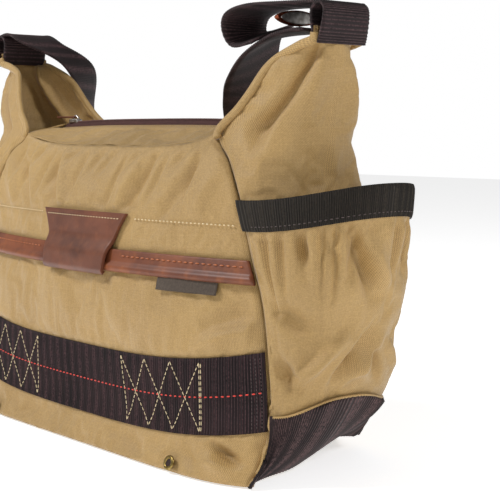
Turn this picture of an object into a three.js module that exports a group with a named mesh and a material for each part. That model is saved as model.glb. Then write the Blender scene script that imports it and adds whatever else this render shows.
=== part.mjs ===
// Soft zip-top shoulder bag with bulging end pockets, a padded insert and a webbing sling.
// Millimetres, +Z up, -Y is the front. The origin is on the ground under the middle of the bag.
// Every sewn panel is a bent sheet: a box whose grid is laid onto a smooth surface.
import * as THREE from 'three';

// Driving dimensions.
const FABRIC = 1.8;
const WEBBING = 1.6;
const LEATHER = 2.0;
const SEAM_GAP = 0.4;
const SIDE_SEAM = 1.2;
const BASE_TOP = 2.5;
const PANEL_FOOT = 3.0;
const TOP_SEAM_Z = 219;
const EAR_TOP_Z = 298;
const OPENING_HALF_LENGTH = 116.5;
const HINGE_Y = 40;
const ZIP_Z = 229.5;
const ZIP_TAPE = 5.0;
const STRAP_WIDTH = 40;
const BAND_WIDTH = 50;
const INSERT_HALF_LENGTH = 143;
const INSERT_HALF_DEPTH = 41;
const INSERT_TOP = 178;
const PADDING = 7;

const COLOURS = {
  khaki: '#b8985f',
  khakiDark: '#9a7d4a',
  webbing: '#43342f',
  elastic: '#2f2a24',
  leather: '#7d4a35',
  zip: '#5a3a35',
  metal: '#b9b2aa',
  brass: '#8c7a4a',
  label: '#5b5048',
  padding: '#6e6358',
  board: '#3a3634',
};

// A smooth curve through [position, value] pairs that never overshoots them.
function track(knots) {
  const slope = (i) => (knots[i + 1][1] - knots[i][1]) / (knots[i + 1][0] - knots[i][0]);
  const tangent = (i) => {
    if (i === 0) return slope(0);
    if (i === knots.length - 1) return slope(i - 1);
    const before = slope(i - 1);
    const after = slope(i);
    return before * after > 0 ? (2 * before * after) / (before + after) : 0;
  };
  return (at) => {
    const last = knots.length - 2;
    const found = knots.findIndex((knot, i) => i > 0 && at <= knot[0]);
    const i = found < 0 ? last : found - 1;
    const span = knots[i + 1][0] - knots[i][0];
    const t = THREE.MathUtils.clamp((at - knots[i][0]) / span, 0, 1);
    const rise = t * t * (3 - 2 * t);
    const bend = span * t * (1 - t) * ((1 - t) * tangent(i) - t * tangent(i + 1));
    return knots[i][1] * (1 - rise) + knots[i + 1][1] * rise + bend;
  };
}

// The side seam between a main panel and an end panel, from the ground to the strap loop,
// as the distance from the middle of the bag along X and along Y at each height.
const seamReach = track([
  [0, 178], [20, 181], [45, 180], [83, 177], [115, 172], [142, 162], [178, 151],
  [205, 137], [219, 121], [238, 134], [246, 140.5], [268, 156], [277, 176], [280, 188],
  [EAR_TOP_Z, 190],
]);
const seamDepth = track([
  [0, 62], [8, 58], [18, 54], [36, 49], [45, 48], [142, 48], [178, 49], [205, 46], [TOP_SEAM_Z, HINGE_Y],
  [262, 27], [276, 20.5], [EAR_TOP_Z, 20],
]);
const frontBulge = track([[0, 14], [40, 21], [100, 24], [160, 17], [205, 4], [TOP_SEAM_Z, 0]]);
// How squarely the front turns to its side seams: the larger, the flatter the middle.
const frontSquareness = track([[0, 7], [50, 5], [100, 3], [160, 2]]);
// How far the middle of each end stands out, by height: the end panel, the pocket and the toe cup.
const endReach = track([
  [3, 180], [20, 183], [45, 184], [83, 187], [142, 187], [178, 183], [223, 184],
  [250, 188], [276, 190], [EAR_TOP_Z, 190],
]);
const pocketReach = track([[16, 188], [45, 197], [80, 211], [140, 229], [190, 235.5]]);
const toeReach = track([[5, 191], [20, 197], [45, 205], [76, 217]]);

const point = (x, y, z) => new THREE.Vector3(x, y, z);
const mix = THREE.MathUtils.lerp;

// The outer face of the front panel: s runs from -1 at the left seam to 1 at the right one.
function frontFace(s, z) {
  const depth = seamDepth(z) + frontBulge(z) * (1 - Math.abs(s) ** frontSquareness(z));
  return point(s * (seamReach(z) - SIDE_SEAM), -depth, z);
}

// How far the slack lower back corner of each end is drawn in towards the middle of the bag.
function cornerTuck(y, z) {
  const deepest = 26;
  const height = 55;
  const share = THREE.MathUtils.smoothstep(y, -25, 50);
  return deepest * share * Math.max(0, 1 - z / height) ** 1.3;
}

// The back panel's outer face, before it is mirrored to the back.
function backFace(s, z) {
  const place = frontFace(s, z);
  place.x *= 1 - cornerTuck(seamDepth(z), z) / seamReach(z);
  return place;
}

// One rounded level of the right end: u runs from 0 at the front seam to 1 at the back seam.
function endLevel(u, edge, middle) {
  const turn = (u - 0.5) * Math.PI;
  const out = Math.cos(turn) ** 0.8;
  const side = Math.sign(turn) * Math.abs(Math.sin(turn)) ** 0.8;
  const y = edge.y * side;
  const z = mix(edge.z, middle.z, out * out);
  return point(mix(edge.x, middle.x, out) - cornerTuck(y, z), y, z);
}

function surfaceNormal(surface, u, v) {
  const step = 0.004;
  const ahead = (value) => Math.min(1, value + step);
  const behind = (value) => Math.max(0, value - step);
  const along = surface(ahead(u), v).sub(surface(behind(u), v));
  const up = surface(u, ahead(v)).sub(surface(u, behind(v)));
  return along.cross(up).normalize();
}

// A closed sheet of even thickness: its outer face is the surface raised by standoff.
function bentSheet({ surface, columns, rows, thickness, standoff = 0 }) {
  const geometry = new THREE.BoxGeometry(1, 1, 1, columns, rows, 1);
  const position = geometry.getAttribute('position');
  for (let i = 0; i < position.count; i += 1) {
    const u = position.getX(i) + 0.5;
    const v = position.getY(i) + 0.5;
    const depth = 0.5 - position.getZ(i);
    const place = surface(u, v);
    place.addScaledVector(surfaceNormal(surface, u, v), standoff - depth * thickness);
    position.setXYZ(i, place.x, place.y, place.z);
  }
  geometry.computeVertexNormals();
  return geometry;
}

// The same surface on the other side of the bag, still facing outwards.
const mirroredX = (surface) => (u, v) => surface(1 - u, v).multiply(point(-1, 1, 1));
const mirroredY = (surface) => (u, v) => surface(1 - u, v).multiply(point(1, -1, 1));

const bag = new THREE.Group();

function addPiece(name, geometry, color, roughness = 0.85, metalness = 0) {
  const material = new THREE.MeshStandardMaterial({ color, roughness, metalness });
  const mesh = new THREE.Mesh(geometry, material);
  mesh.name = name;
  bag.add(mesh);
  return mesh;
}

// A piece at each end of the bag, made once and mirrored.
function addEndPieces(name, sheet, color) {
  addPiece(`${name}_right`, bentSheet(sheet), color);
  addPiece(`${name}_left`, bentSheet({ ...sheet, surface: mirroredX(sheet.surface) }), color);
}

function addMainPanels() {
  const height = (v) => mix(PANEL_FOOT, TOP_SEAM_Z - SEAM_GAP, v);
  const front = (u, v) => frontFace(2 * u - 1, height(v));
  const back = mirroredY((u, v) => backFace(2 * u - 1, height(v)));
  const sheet = { columns: 18, rows: 16, thickness: FABRIC };
  addPiece('front_panel', bentSheet({ ...sheet, surface: front }), COLOURS.khaki);
  addPiece('back_panel', bentSheet({ ...sheet, surface: back }), COLOURS.khaki);
}

function addBase() {
  const halfLength = 148;
  const halfDepth = 55;
  const corner = 26;
  const outline = new THREE.Shape();
  outline.moveTo(-halfLength + corner, -halfDepth);
  outline.lineTo(halfLength - corner, -halfDepth);
  outline.absarc(halfLength - corner, -halfDepth + corner, corner, -Math.PI / 2, 0);
  outline.absarc(halfLength - corner, halfDepth - corner, corner, 0, Math.PI / 2);
  outline.absarc(-halfLength + corner, halfDepth - corner, corner, Math.PI / 2, Math.PI);
  outline.absarc(-halfLength + corner, -halfDepth + corner, corner, Math.PI, 1.5 * Math.PI);
  const options = { depth: BASE_TOP, bevelEnabled: false, curveSegments: 6 };
  addPiece('base_panel', new THREE.ExtrudeGeometry(outline, options), COLOURS.webbing);
  const boardThickness = 3;
  const board = new THREE.BoxGeometry(284, 86, boardThickness);
  const boardPiece = addPiece('base_board', board, COLOURS.board, 0.6);
  boardPiece.position.z = BASE_TOP + SEAM_GAP + boardThickness / 2;
}

// The end panel runs up past the zip into an ear that carries the strap.
function addEndPanels() {
  const surface = (u, v) => {
    const z = mix(PANEL_FOOT, EAR_TOP_Z, v);
    const edge = point(seamReach(z) + SIDE_SEAM, seamDepth(z), z);
    return endLevel(u, edge, point(endReach(z), 0, z));
  };
  const sheet = { surface, columns: 14, rows: 18, thickness: FABRIC, standoff: FABRIC };
  addEndPieces('end_panel', sheet, COLOURS.khaki);
}

const POCKET = { foot: 12, footMiddle: 16, top: 178, topMiddle: 190, clearance: 2.8 };

// The pocket's wall at a share of its height, outside the end panel.
function pocketWall(u, share) {
  const z = mix(POCKET.foot, POCKET.top, share);
  const middle = mix(POCKET.footMiddle, POCKET.topMiddle, share);
  const edge = point(seamReach(z) + 0.8, seamDepth(z) + POCKET.clearance, z);
  return endLevel(u, edge, point(pocketReach(middle), 0, middle));
}

function addEndPockets() {
  const wall = 1.2;
  const sheet = { surface: pocketWall, columns: 16, rows: 10, thickness: wall, standoff: wall };
  addEndPieces('end_pocket', sheet, COLOURS.khaki);
  const bandThickness = 1.4;
  const bandShare = 0.88;
  addEndPieces('pocket_band', {
    surface: (u, v) => pocketWall(u, mix(bandShare, 1, v)),
    columns: 16,
    rows: 1,
    thickness: bandThickness,
    standoff: wall + SEAM_GAP + bandThickness,
  }, COLOURS.elastic);
}

function addToeCups() {
  const surface = (u, v) => {
    const z = mix(PANEL_FOOT, 46, v);
    const middle = mix(5, 54, v);
    const edge = point(seamReach(z) + 1.2, seamDepth(z) + 6.6, z);
    return endLevel(u, edge, point(toeReach(middle), 0, middle));
  };
  const sheet = { surface, columns: 16, rows: 5, thickness: WEBBING };
  addEndPieces('toe_cup', sheet, COLOURS.webbing);
}

// A flat piece sewn on the front panel between two heights that may vary along it.
function frontPatch({ from, to, low, high, columns, rows, thickness, clearance }) {
  const surface = (u, v) => {
    const s = mix(from, to, u);
    return frontFace(s, mix(low(s), high(s), v));
  };
  return bentSheet({ surface, columns, rows, thickness, standoff: clearance + thickness });
}

function addFrontTrim() {
  const clearance = 0.8;
  const seamShare = 0.985;
  const sagging = (s) => 22 + 13 * s ** 4;
  addPiece('front_webbing', frontPatch({
    from: -seamShare,
    to: seamShare,
    low: sagging,
    high: (s) => sagging(s) + BAND_WIDTH,
    columns: 18,
    rows: 5,
    thickness: WEBBING,
    clearance,
  }), COLOURS.webbing);
  const stripLow = 127;
  const stripHigh = 142;
  addPiece('leather_strip', frontPatch({
    from: -seamShare,
    to: seamShare,
    low: () => stripLow,
    high: () => stripHigh,
    columns: 18,
    rows: 1,
    thickness: LEATHER,
    clearance,
  }), COLOURS.leather, 0.5);
  addPiece('woven_label', frontPatch({
    from: 0.53,
    to: 0.86,
    low: () => stripLow - 8.5,
    high: () => stripLow - 0.5,
    columns: 4,
    rows: 1,
    thickness: 0.8,
    clearance,
  }), COLOURS.label);
  // The tab lies over the strip and is narrower at its foot.
  const tabSurface = (u, v) => {
    const halfWidth = mix(33, 57, v ** 1.8);
    const z = mix(stripLow - 2, 168, v);
    return frontFace((mix(-halfWidth, halfWidth, u)) / seamReach(z), z);
  };
  const tabThickness = 2.6;
  addPiece('leather_tab', bentSheet({
    surface: tabSurface,
    columns: 6,
    rows: 5,
    thickness: tabThickness,
    standoff: clearance + LEATHER + SEAM_GAP + tabThickness,
  }), COLOURS.leather, 0.5);
}

function addEyelets() {
  const profile = [[2.6, 0], [5, 0], [4.6, 0.9], [3.2, 1.1], [2.6, 0]];
  const outline = profile.map(([radius, height]) => new THREE.Vector2(radius, height));
  for (const [name, side] of [['eyelet_right', 1], ['eyelet_left', -1]]) {
    const ring = addPiece(name, new THREE.LatheGeometry(outline, 16), COLOURS.brass, 0.35, 0.9);
    const height = 11;
    const place = frontFace((side * 104) / seamReach(height), height);
    ring.position.set(place.x, place.y - 1.7, place.z);
    ring.rotation.x = Math.PI;
  }
}

// The top is closed by two narrow facings that meet along the zip.
function addFacings() {
  const outerY = HINGE_Y - 0.8;
  const innerY = ZIP_TAPE + SEAM_GAP;
  const slopeAt = (share) => point(0, -mix(outerY, innerY, share), mix(TOP_SEAM_Z + 1, ZIP_Z, share));
  const facing = (u, v) => slopeAt(v).setX(mix(-OPENING_HALF_LENGTH, OPENING_HALF_LENGTH, u));
  const sheet = { surface: facing, columns: 6, rows: 2, thickness: FABRIC };
  addPiece('top_facing_front', bentSheet(sheet), COLOURS.khaki);
  addPiece('top_facing_back', bentSheet({ ...sheet, surface: mirroredY(facing) }), COLOURS.khaki);
  const tape = (u, v) => point(
    mix(-OPENING_HALF_LENGTH, OPENING_HALF_LENGTH, u),
    -mix(ZIP_TAPE, 0.25, v),
    ZIP_Z + 0.2,
  );
  const half = { surface: tape, columns: 1, rows: 1, thickness: 1.6 };
  addPiece('zip_half_front', bentSheet(half), COLOURS.zip);
  addPiece('zip_half_back', bentSheet({ ...half, surface: mirroredY(tape) }), COLOURS.zip);
}

// A small fabric bridge closes the top between the end of the zip and each ear.
function addTopGussets() {
  for (const [name, side] of [['top_gusset_right', 1], ['top_gusset_left', -1]]) {
    const outline = new THREE.Shape();
    outline.moveTo(0, -34);
    outline.absellipse(0, 0, 41, 34, -Math.PI / 2, Math.PI / 2);
    const options = { depth: FABRIC, bevelEnabled: false, curveSegments: 12 };
    const gusset = addPiece(name, new THREE.ExtrudeGeometry(outline, options), COLOURS.khaki);
    gusset.position.set(side * 119.5, 0, 219.5);
    gusset.rotation.z = side > 0 ? 0 : Math.PI;
  }
}

// The slider rides above the tapes at the left end, its pull lying towards the ear.
function addZipSlider() {
  const slider = addPiece('zip_slider', new THREE.BoxGeometry(11, 9, 3), COLOURS.metal, 0.35, 0.9);
  slider.position.set(-108, 0, ZIP_Z + 2.1);
  const outline = new THREE.Shape();
  outline.moveTo(0, -2.5);
  outline.lineTo(0, 2.5);
  outline.lineTo(-22, 3.5);
  outline.absarc(-22, 0, 3.5, Math.PI / 2, 1.5 * Math.PI);
  const options = { depth: 1.4, bevelEnabled: false, curveSegments: 6 };
  const pull = addPiece('zip_pull', new THREE.ExtrudeGeometry(outline, options), COLOURS.leather);
  pull.position.set(-108, 0, ZIP_Z + 4.2);
}

// The webbing loop sewn over the top of each ear.
function addEarLoops() {
  const outer = 194.6;
  const inner = 187.2;
  const foot = 281;
  const crown = 300.9;
  for (const [name, side] of [['ear_loop_right', 1], ['ear_loop_left', -1]]) {
    const outline = new THREE.Shape();
    outline.moveTo(inner, foot);
    outline.lineTo(inner + WEBBING, foot);
    outline.lineTo(inner + WEBBING, crown - WEBBING);
    outline.lineTo(outer - WEBBING, crown - WEBBING);
    outline.lineTo(outer - WEBBING, foot);
    outline.lineTo(outer, foot);
    outline.lineTo(outer, crown - 1.5);
    outline.lineTo(outer - 1.5, crown);
    outline.lineTo(inner + 1.5, crown);
    outline.lineTo(inner, crown - 1.5);
    const options = { depth: STRAP_WIDTH, bevelEnabled: false };
    const loop = addPiece(name, new THREE.ExtrudeGeometry(outline, options), COLOURS.webbing);
    loop.rotation.set(Math.PI / 2, 0, side > 0 ? 0 : Math.PI, 'ZXY');
    loop.position.y = side * STRAP_WIDTH / 2;
  }
}

// A webbing ribbon along hand-set stations, each a centre and the direction of the width.
function ribbonGeometry(stations, rows, width) {
  const centres = new THREE.CatmullRomCurve3(stations.map((station) => point(...station[0])));
  const widths = new THREE.CatmullRomCurve3(stations.map((station) => point(...station[1])));
  const surface = (u, v) => {
    const across = widths.getPoint(v).normalize();
    return centres.getPoint(v).addScaledVector(across, (u - 0.5) * width);
  };
  return bentSheet({ surface, columns: 2, rows, thickness: WEBBING, standoff: WEBBING / 2 });
}

// The sling leaves the right ear, falls behind the bag, lies in a loose loop on the ground
// and climbs back to the left ear.
const STRAP_ROUTE = [
  [[172, 0, 287], [0, 1, 0]],
  [[140, 0, 287], [0, 1, 0]],
  [[112, 5, 280], [0.15, 1, 0]],
  [[88, 22, 264], [0.35, 0.9, 0]],
  [[60, 42, 246], [0.6, 0.8, -0.1]],
  [[34, 62, 222], [0.85, 0.45, -0.2]],
  [[14, 76, 186], [1, 0.1, -0.1]],
  [[2, 84, 130], [1, 0, 0]],
  [[-2, 86, 70], [1, 0, 0]],
  [[-4, 88, 26], [1, 0.05, 0]],
  [[-14, 100, 6], [0.95, 0.3, 0.05]],
  [[-38, 122, 2.4], [0.6, 0.8, 0]],
  [[-72, 128, 2.4], [0, 1, 0]],
  [[-108, 118, 4], [-0.7, 0.7, 0]],
  [[-130, 94, 20], [-1, 0.2, 0]],
  [[-138, 85, 70], [-1, 0, 0]],
  [[-146, 84, 115], [-1, 0, 0]],
  [[-158, 82, 160], [-1, 0, 0]],
  [[-170, 72, 205], [-0.95, 0.3, 0]],
  [[-168, 60, 244], [-0.75, 0.7, 0]],
  [[-149, 31, 278], [-0.3, 1, 0]],
  [[-164, 4, 296], [0, 1, 0]],
  [[-178, 0, 303.2], [0, 1, 0]],
  [[-192, 0, 302.4], [0, 1, 0]],
];
// The doubled tail: over the ear and curled down towards the sling.
const TAIL_ROUTE = [
  [[193, 0, 302.2], [0, 1, 0]],
  [[160, 0, 305], [0, 1, 0]],
  [[124, 0, 307], [0, 1, 0]],
  [[104, 0, 302], [0, 1, 0]],
  [[96, 0, 289], [0, 1, 0]],
];

function addStrap() {
  addPiece('shoulder_strap', ribbonGeometry(STRAP_ROUTE, 78, STRAP_WIDTH), COLOURS.webbing);
  addPiece('strap_tail', ribbonGeometry(TAIL_ROUTE, 16, STRAP_WIDTH), COLOURS.webbing);
  const outline = new THREE.Shape();
  outline.absellipse(0, 0, 18.5, 5, 0, 2 * Math.PI);
  const options = { depth: 4, bevelEnabled: false, curveSegments: 8 };
  const bar = addPiece('strap_bar', new THREE.ExtrudeGeometry(outline, options), COLOURS.metal, 0.3, 0.9);
  bar.rotation.set(Math.PI / 2, 0, Math.PI / 2, 'ZXY');
  bar.position.set(150, 0, 296);
}

// The padded insert is five quilted boards with two dividers that can be moved along it.
function addInsert() {
  const floorZ = 6.8;
  const wallFoot = floorZ + PADDING + SEAM_GAP;
  const wallHeight = INSERT_TOP - wallFoot;
  const innerDepth = INSERT_HALF_DEPTH - PADDING;
  const board = (name, size, centre) => {
    const piece = addPiece(name, new THREE.BoxGeometry(...size), COLOURS.padding);
    piece.position.set(...centre);
  };
  const length = 2 * INSERT_HALF_LENGTH;
  board('insert_floor', [length, 2 * INSERT_HALF_DEPTH, PADDING], [0, 0, floorZ + PADDING / 2]);
  const middle = wallFoot + wallHeight / 2;
  for (const [name, side] of [['insert_front', -1], ['insert_back', 1]]) {
    const y = side * (INSERT_HALF_DEPTH - PADDING / 2);
    board(name, [length, PADDING, wallHeight], [0, y, middle]);
  }
  for (const [name, side] of [['insert_right', 1], ['insert_left', -1]]) {
    const x = side * (INSERT_HALF_LENGTH - PADDING / 2);
    board(name, [PADDING, 2 * innerDepth - 2 * SEAM_GAP, wallHeight], [x, 0, middle]);
  }
  for (const [name, side] of [['divider_right', 1], ['divider_left', -1]]) {
    const dividerHeight = wallHeight - 12;
    const size = [5, 2 * innerDepth - 4 * SEAM_GAP, dividerHeight];
    board(name, size, [side * 46, 0, wallFoot + SEAM_GAP + dividerHeight / 2]);
  }
}

addMainPanels();
addBase();
addEndPanels();
addEndPockets();
addToeCups();
addFrontTrim();
addEyelets();
addFacings();
addTopGussets();
addZipSlider();
addEarLoops();
addStrap();
addInsert();

export default bag;
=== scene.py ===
"""A soft zip-top shoulder bag: khaki ripstop, webbing, leather trim, padded insert and sling.

Pieces are built in metres in the frame's own axes: +X to the right end, -Y to the front, +Z up.
Curves and sizes inside the classes are in millimetres, and MM turns them into metres.
"""
import logging
import math
from collections.abc import Callable, Iterable, Sequence
from dataclasses import dataclass, field
from enum import Enum
from typing import Any

import bpy
import numpy as np
from mathutils import Matrix, Vector, noise


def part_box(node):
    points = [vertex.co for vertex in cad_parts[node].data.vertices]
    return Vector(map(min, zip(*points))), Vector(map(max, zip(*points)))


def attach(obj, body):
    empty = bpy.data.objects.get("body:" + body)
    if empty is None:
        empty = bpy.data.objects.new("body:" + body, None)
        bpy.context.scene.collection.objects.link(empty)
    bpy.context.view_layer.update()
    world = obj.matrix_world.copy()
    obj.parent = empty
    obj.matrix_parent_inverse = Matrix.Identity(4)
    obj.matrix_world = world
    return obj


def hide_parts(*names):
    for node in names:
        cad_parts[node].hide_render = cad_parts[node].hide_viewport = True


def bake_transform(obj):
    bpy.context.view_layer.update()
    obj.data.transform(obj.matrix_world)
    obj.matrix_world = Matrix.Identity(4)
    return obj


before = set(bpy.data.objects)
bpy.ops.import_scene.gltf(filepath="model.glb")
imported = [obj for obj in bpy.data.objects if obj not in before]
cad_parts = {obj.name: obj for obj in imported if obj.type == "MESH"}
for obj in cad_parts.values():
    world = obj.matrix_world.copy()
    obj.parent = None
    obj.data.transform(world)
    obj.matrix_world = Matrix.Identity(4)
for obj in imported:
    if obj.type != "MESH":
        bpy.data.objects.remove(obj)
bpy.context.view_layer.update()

MM = 0.001
LOG = logging.getLogger("bag")
Place = tuple[float, float, float]
Surface = Callable[[float, float], Place]
Lift = Callable[[float, float], float]


class Side(Enum):
    """The two ends of the bag, by the sign of X."""

    RIGHT = 1
    LEFT = -1

    @property
    def word(self) -> str:
        """The side as it stands in a node's name."""
        return self.name.lower()


class Body(Enum):
    """The moving bodies of the frame that new pieces ride on."""

    BAG = "bag"
    FRONT_FLAP = "front_flap"
    BACK_FLAP = "back_flap"
    SLIDER = "slider"
    PULL = "pull"
    ADJUSTER = "adjuster"
    DIVIDER_RIGHT = "divider_right"
    DIVIDER_LEFT = "divider_left"


class Slot(Enum):
    """The record's material slots."""

    KHAKI = "khaki_nylon"
    WEBBING = "brown_webbing"
    ELASTIC = "elastic"
    LEATHER = "brown_leather"
    ZIP = "zip_tape"
    METAL = "satin_metal"
    BRASS = "aged_brass"
    LABEL = "woven_label"
    PADDING = "padded_lining"
    BOARD = "stiff_board"


# ---------------------------------------------------------------- curves and surfaces


@dataclass(frozen=True)
class Track:
    """A smooth curve through (position, value) knots that never overshoots them."""

    knots: tuple[tuple[float, float], ...]

    def _slope(self, i: int) -> float:
        """The straight slope from knot i to the next."""
        (x0, y0), (x1, y1) = self.knots[i], self.knots[i + 1]
        return (y1 - y0) / (x1 - x0)

    def _tangent(self, i: int) -> float:
        """The curve's slope at knot i, level at a peak or a dip.

        Args:
            i: the knot's number.

        Returns:
            The slope there.
        """
        if i == 0:
            return self._slope(0)
        if i == len(self.knots) - 1:
            return self._slope(i - 1)
        before, after = self._slope(i - 1), self._slope(i)
        return 2 * before * after / (before + after) if before * after > 0 else 0.0

    def __call__(self, at: float) -> float:
        """The curve's value.

        Args:
            at: the position along the knots; past the ends the end value holds.

        Returns:
            The value there.
        """
        last = len(self.knots) - 2
        i = next((k for k in range(last + 1) if at <= self.knots[k + 1][0]), last)
        (x0, y0), (x1, y1) = self.knots[i], self.knots[i + 1]
        span = x1 - x0
        t = min(1.0, max(0.0, (at - x0) / span))
        rise = t * t * (3 - 2 * t)
        bend = span * t * (1 - t) * ((1 - t) * self._tangent(i) - t * self._tangent(i + 1))
        return y0 * (1 - rise) + y1 * rise + bend


def mix(a: float, b: float, t: float) -> float:
    """The value a share t of the way from a to b."""
    return a + (b - a) * t


def smooth(low: float, high: float, value: float) -> float:
    """A soft step from 0 at low to 1 at high."""
    t = min(1.0, max(0.0, (value - low) / (high - low)))
    return t * t * (3 - 2 * t)


@dataclass(frozen=True)
class Crease:
    """A dent, or with a negative depth a ridge, along a straight line on a flat layout in mm."""

    start: tuple[float, float]
    end: tuple[float, float]
    width: float
    depth: float

    def lift(self, x: float, y: float) -> float:
        """How far the cloth stands out at a point of the layout, in mm.

        Args:
            x: how far along the layout, in mm.
            y: how far up it, in mm.

        Returns:
            The lift in mm.
        """
        ax, ay = self.start
        dx, dy = self.end[0] - ax, self.end[1] - ay
        share = ((x - ax) * dx + (y - ay) * dy) / (dx * dx + dy * dy)
        near = min(1.0, max(0.0, share))
        gap = math.hypot(x - ax - near * dx, y - ay - near * dy) / self.width
        if gap > 3:
            return 0.0
        fade = 0.35 + 0.65 * math.sin(math.pi * near)
        return -self.depth * fade * math.exp(-gap * gap)


def crumple(x: float, y: float, z: float, size: float, seed: float) -> float:
    """Gentle unevenness from -1 to 1 over patches of a size in mm."""
    spot = Vector((x / size + seed, y / size - seed, z / size + 3 * seed))
    return noise.noise(spot) + 0.4 * noise.noise(spot * 2.3)


@dataclass(frozen=True)
class BagShape:
    """The bag's form as it stands, loaded only by its own insert."""

    foot: float = 1.5
    top_seam: float = 213.0
    seam_rise: float = 9.0
    ear_top: float = 288.0
    seam_reach: Track = Track((
        (0, 177), (20, 180), (45, 180), (83, 177), (115, 172), (142, 162), (178, 151),
        (205, 136), (222, 119), (238, 134), (246, 140.5), (268, 156), (277, 176), (280, 188),
        (298, 190),
    ))
    seam_depth: Track = Track((
        (0, 62), (8, 57), (18, 52), (36, 48), (142, 48), (178, 49), (205, 46), (222, 40),
        (262, 27), (276, 20.5), (298, 20),
    ))
    front_bulge: Track = Track(((0, 17), (40, 21), (100, 24), (160, 17), (200, 5), (215, 0)))
    squareness: Track = Track(((0, 7), (50, 5), (100, 3), (160, 2)))
    end_reach: Track = Track((
        (1.5, 158), (20, 168), (45, 180), (83, 187), (142, 187), (178, 183), (223, 184),
        (250, 189), (276, 190), (298, 190),
    ))
    pocket_reach: Track = Track(((10, 168), (45, 195), (80, 211), (140, 229), (190, 236)))
    toe_reach: Track = Track(((1, 158), (8, 168), (20, 182), (45, 199), (76, 213)))

    def top_at(self, s: float) -> float:
        """The height of the top seam, which sags between the ears."""
        return self.top_seam + self.seam_rise * abs(s) ** 4

    def front(self, s: float, z: float) -> Place:
        """A point on the front panel.

        Args:
            s: from -1 at the left seam to 1 at the right one.
            z: the height in mm.

        Returns:
            The place in mm.
        """
        depth = self.seam_depth(z) + self.front_bulge(z) * (1 - abs(s) ** self.squareness(z))
        under = 1.5 * (1 - smooth(0, 6, z)) ** 2
        return (s * (self.seam_reach(z) - 0.6), -depth + under, z)

    @staticmethod
    def corner_tuck(y: float, z: float) -> float:
        """How far an end's slack lower back corner is drawn in towards the middle, in mm."""
        return 28 * smooth(-25, 50, y) * max(0.0, 1 - z / 60) ** 1.3

    @staticmethod
    def corner_lift(y: float, z: float) -> float:
        """How far the same corner is rounded up off the ground, in mm."""
        return 9 * smooth(-10, 50, y) * max(0.0, 1 - z / 40) ** 1.5

    def back(self, s: float, z: float) -> Place:
        """A point on the back panel, before it is mirrored to the back, in mm.

        Args:
            s: from -1 at the left seam to 1 at the right one.
            z: the height in mm.

        Returns:
            The place in mm.
        """
        x, y, _ = self.front(s, z)
        drawn = 1 - self.corner_tuck(self.seam_depth(z), z) / self.seam_reach(z)
        return (x * drawn, y, z + self.corner_lift(50, z) * smooth(0.72, 1.0, abs(s)))

    def front_at_x(self, x: float, z: float) -> Place:
        """A point on the front panel above or below a length along the bag, in mm."""
        return self.front(x / (self.seam_reach(z) - 0.6), z)

    def level(self, u: float, edge: Place, middle: Place) -> Place:
        """One rounded level of the right end, from the front seam to the back seam.

        Args:
            u: from 0 at the front seam to 1 at the back seam.
            edge: the seam's reach, depth and height.
            middle: the same for the middle of the end.

        Returns:
            The place in mm.
        """
        turn = (u - 0.5) * math.pi
        out = max(0.0, math.cos(turn)) ** 0.8
        side = math.copysign(abs(math.sin(turn)) ** 0.8, turn)
        y, z = edge[1] * side, mix(edge[2], middle[2], out * out)
        x = mix(edge[0], middle[0], out) - self.corner_tuck(y, z)
        return (x, y, z + self.corner_lift(y, z))

    def end(self, u: float, z: float) -> Place:
        """A point on the right end panel and its ear, in mm."""
        edge = (self.seam_reach(z) + 0.6, self.seam_depth(z), z)
        return self.level(u, edge, (self.end_reach(z), 0, z))

    def pocket(self, u: float, share: float) -> Place:
        """A point on the right pocket's wall, in mm; share is 0 at its foot and 1 at its mouth.

        Args:
            u: from 0 at the front seam to 1 at the back seam.
            share: 0 at its foot and 1 at its upper edge.

        Returns:
            The place in mm.
        """
        z = mix(10, 178, share)
        middle = mix(12, 190, share)
        edge = (self.seam_reach(z) + 0.6, self.seam_depth(z) + 1.6, z)
        return self.level(u, edge, (self.pocket_reach(middle), 0, middle))

    def toe(self, u: float, share: float) -> Place:
        """A point on the right toe cup, in mm; share is 0 at the ground and 1 at its free edge.

        Args:
            u: from 0 at the front seam to 1 at the back seam.
            share: 0 at its foot and 1 at its upper edge.

        Returns:
            The place in mm.
        """
        z = mix(self.foot, 46, share)
        wave = 5 * math.sin(math.pi * (2 * u - 0.35)) * share
        middle = mix(3, 52, share) + wave
        edge = (self.seam_reach(z) + 1.0, self.seam_depth(z) + 1.6, z)
        return self.level(u, edge, (self.toe_reach(middle), 0, middle))


SHAPE = BagShape()
EYELET_X = 113
EYELET_HEIGHT = 7.5
PANEL_ROW_HEIGHT = 163.5
POCKET_ALONG = 250
POCKET_UP = 172


# ---------------------------------------------------------------- mesh work


def mirrored(surface: Surface, side: Side) -> Surface:
    """The surface itself on the right, or its mirror image on the left, still facing out.

    Args:
        surface: the surface on the right.
        side: the end of the bag.

    Returns:
        The surface on that side.
    """
    if side is Side.RIGHT:
        return surface

    def flipped(u: float, v: float) -> Place:
        """The mirrored place."""
        x, y, z = surface(1 - u, v)
        return (-x, y, z)

    return flipped


def backwards(surface: Surface) -> Surface:
    """The surface's mirror image at the back of the bag, still facing out.

    Args:
        surface: the surface at the front.

    Returns:
        The surface at the back.
    """

    def flipped(u: float, v: float) -> Place:
        """The mirrored place."""
        x, y, z = surface(1 - u, v)
        return (x, -y, z)

    return flipped


def flipped_grids(axis: int, *grids: np.ndarray) -> list[np.ndarray]:
    """The mirror images of grids of points across an axis, still facing out."""
    signs = np.where(np.arange(3) == axis, -1.0, 1.0)
    return [grid[:, ::-1] * signs for grid in grids]


def grid_normals(points: np.ndarray) -> np.ndarray:
    """The unit normals of a grid of points.

    Args:
        points: rows by columns by 3.

    Returns:
        The outward normals in the same layout.
    """
    across = np.gradient(points, axis=1)
    up = np.gradient(points, axis=0)
    normal = np.cross(across, up)
    return normal / np.maximum(np.linalg.norm(normal, axis=2, keepdims=True), 1e-12)


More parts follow.
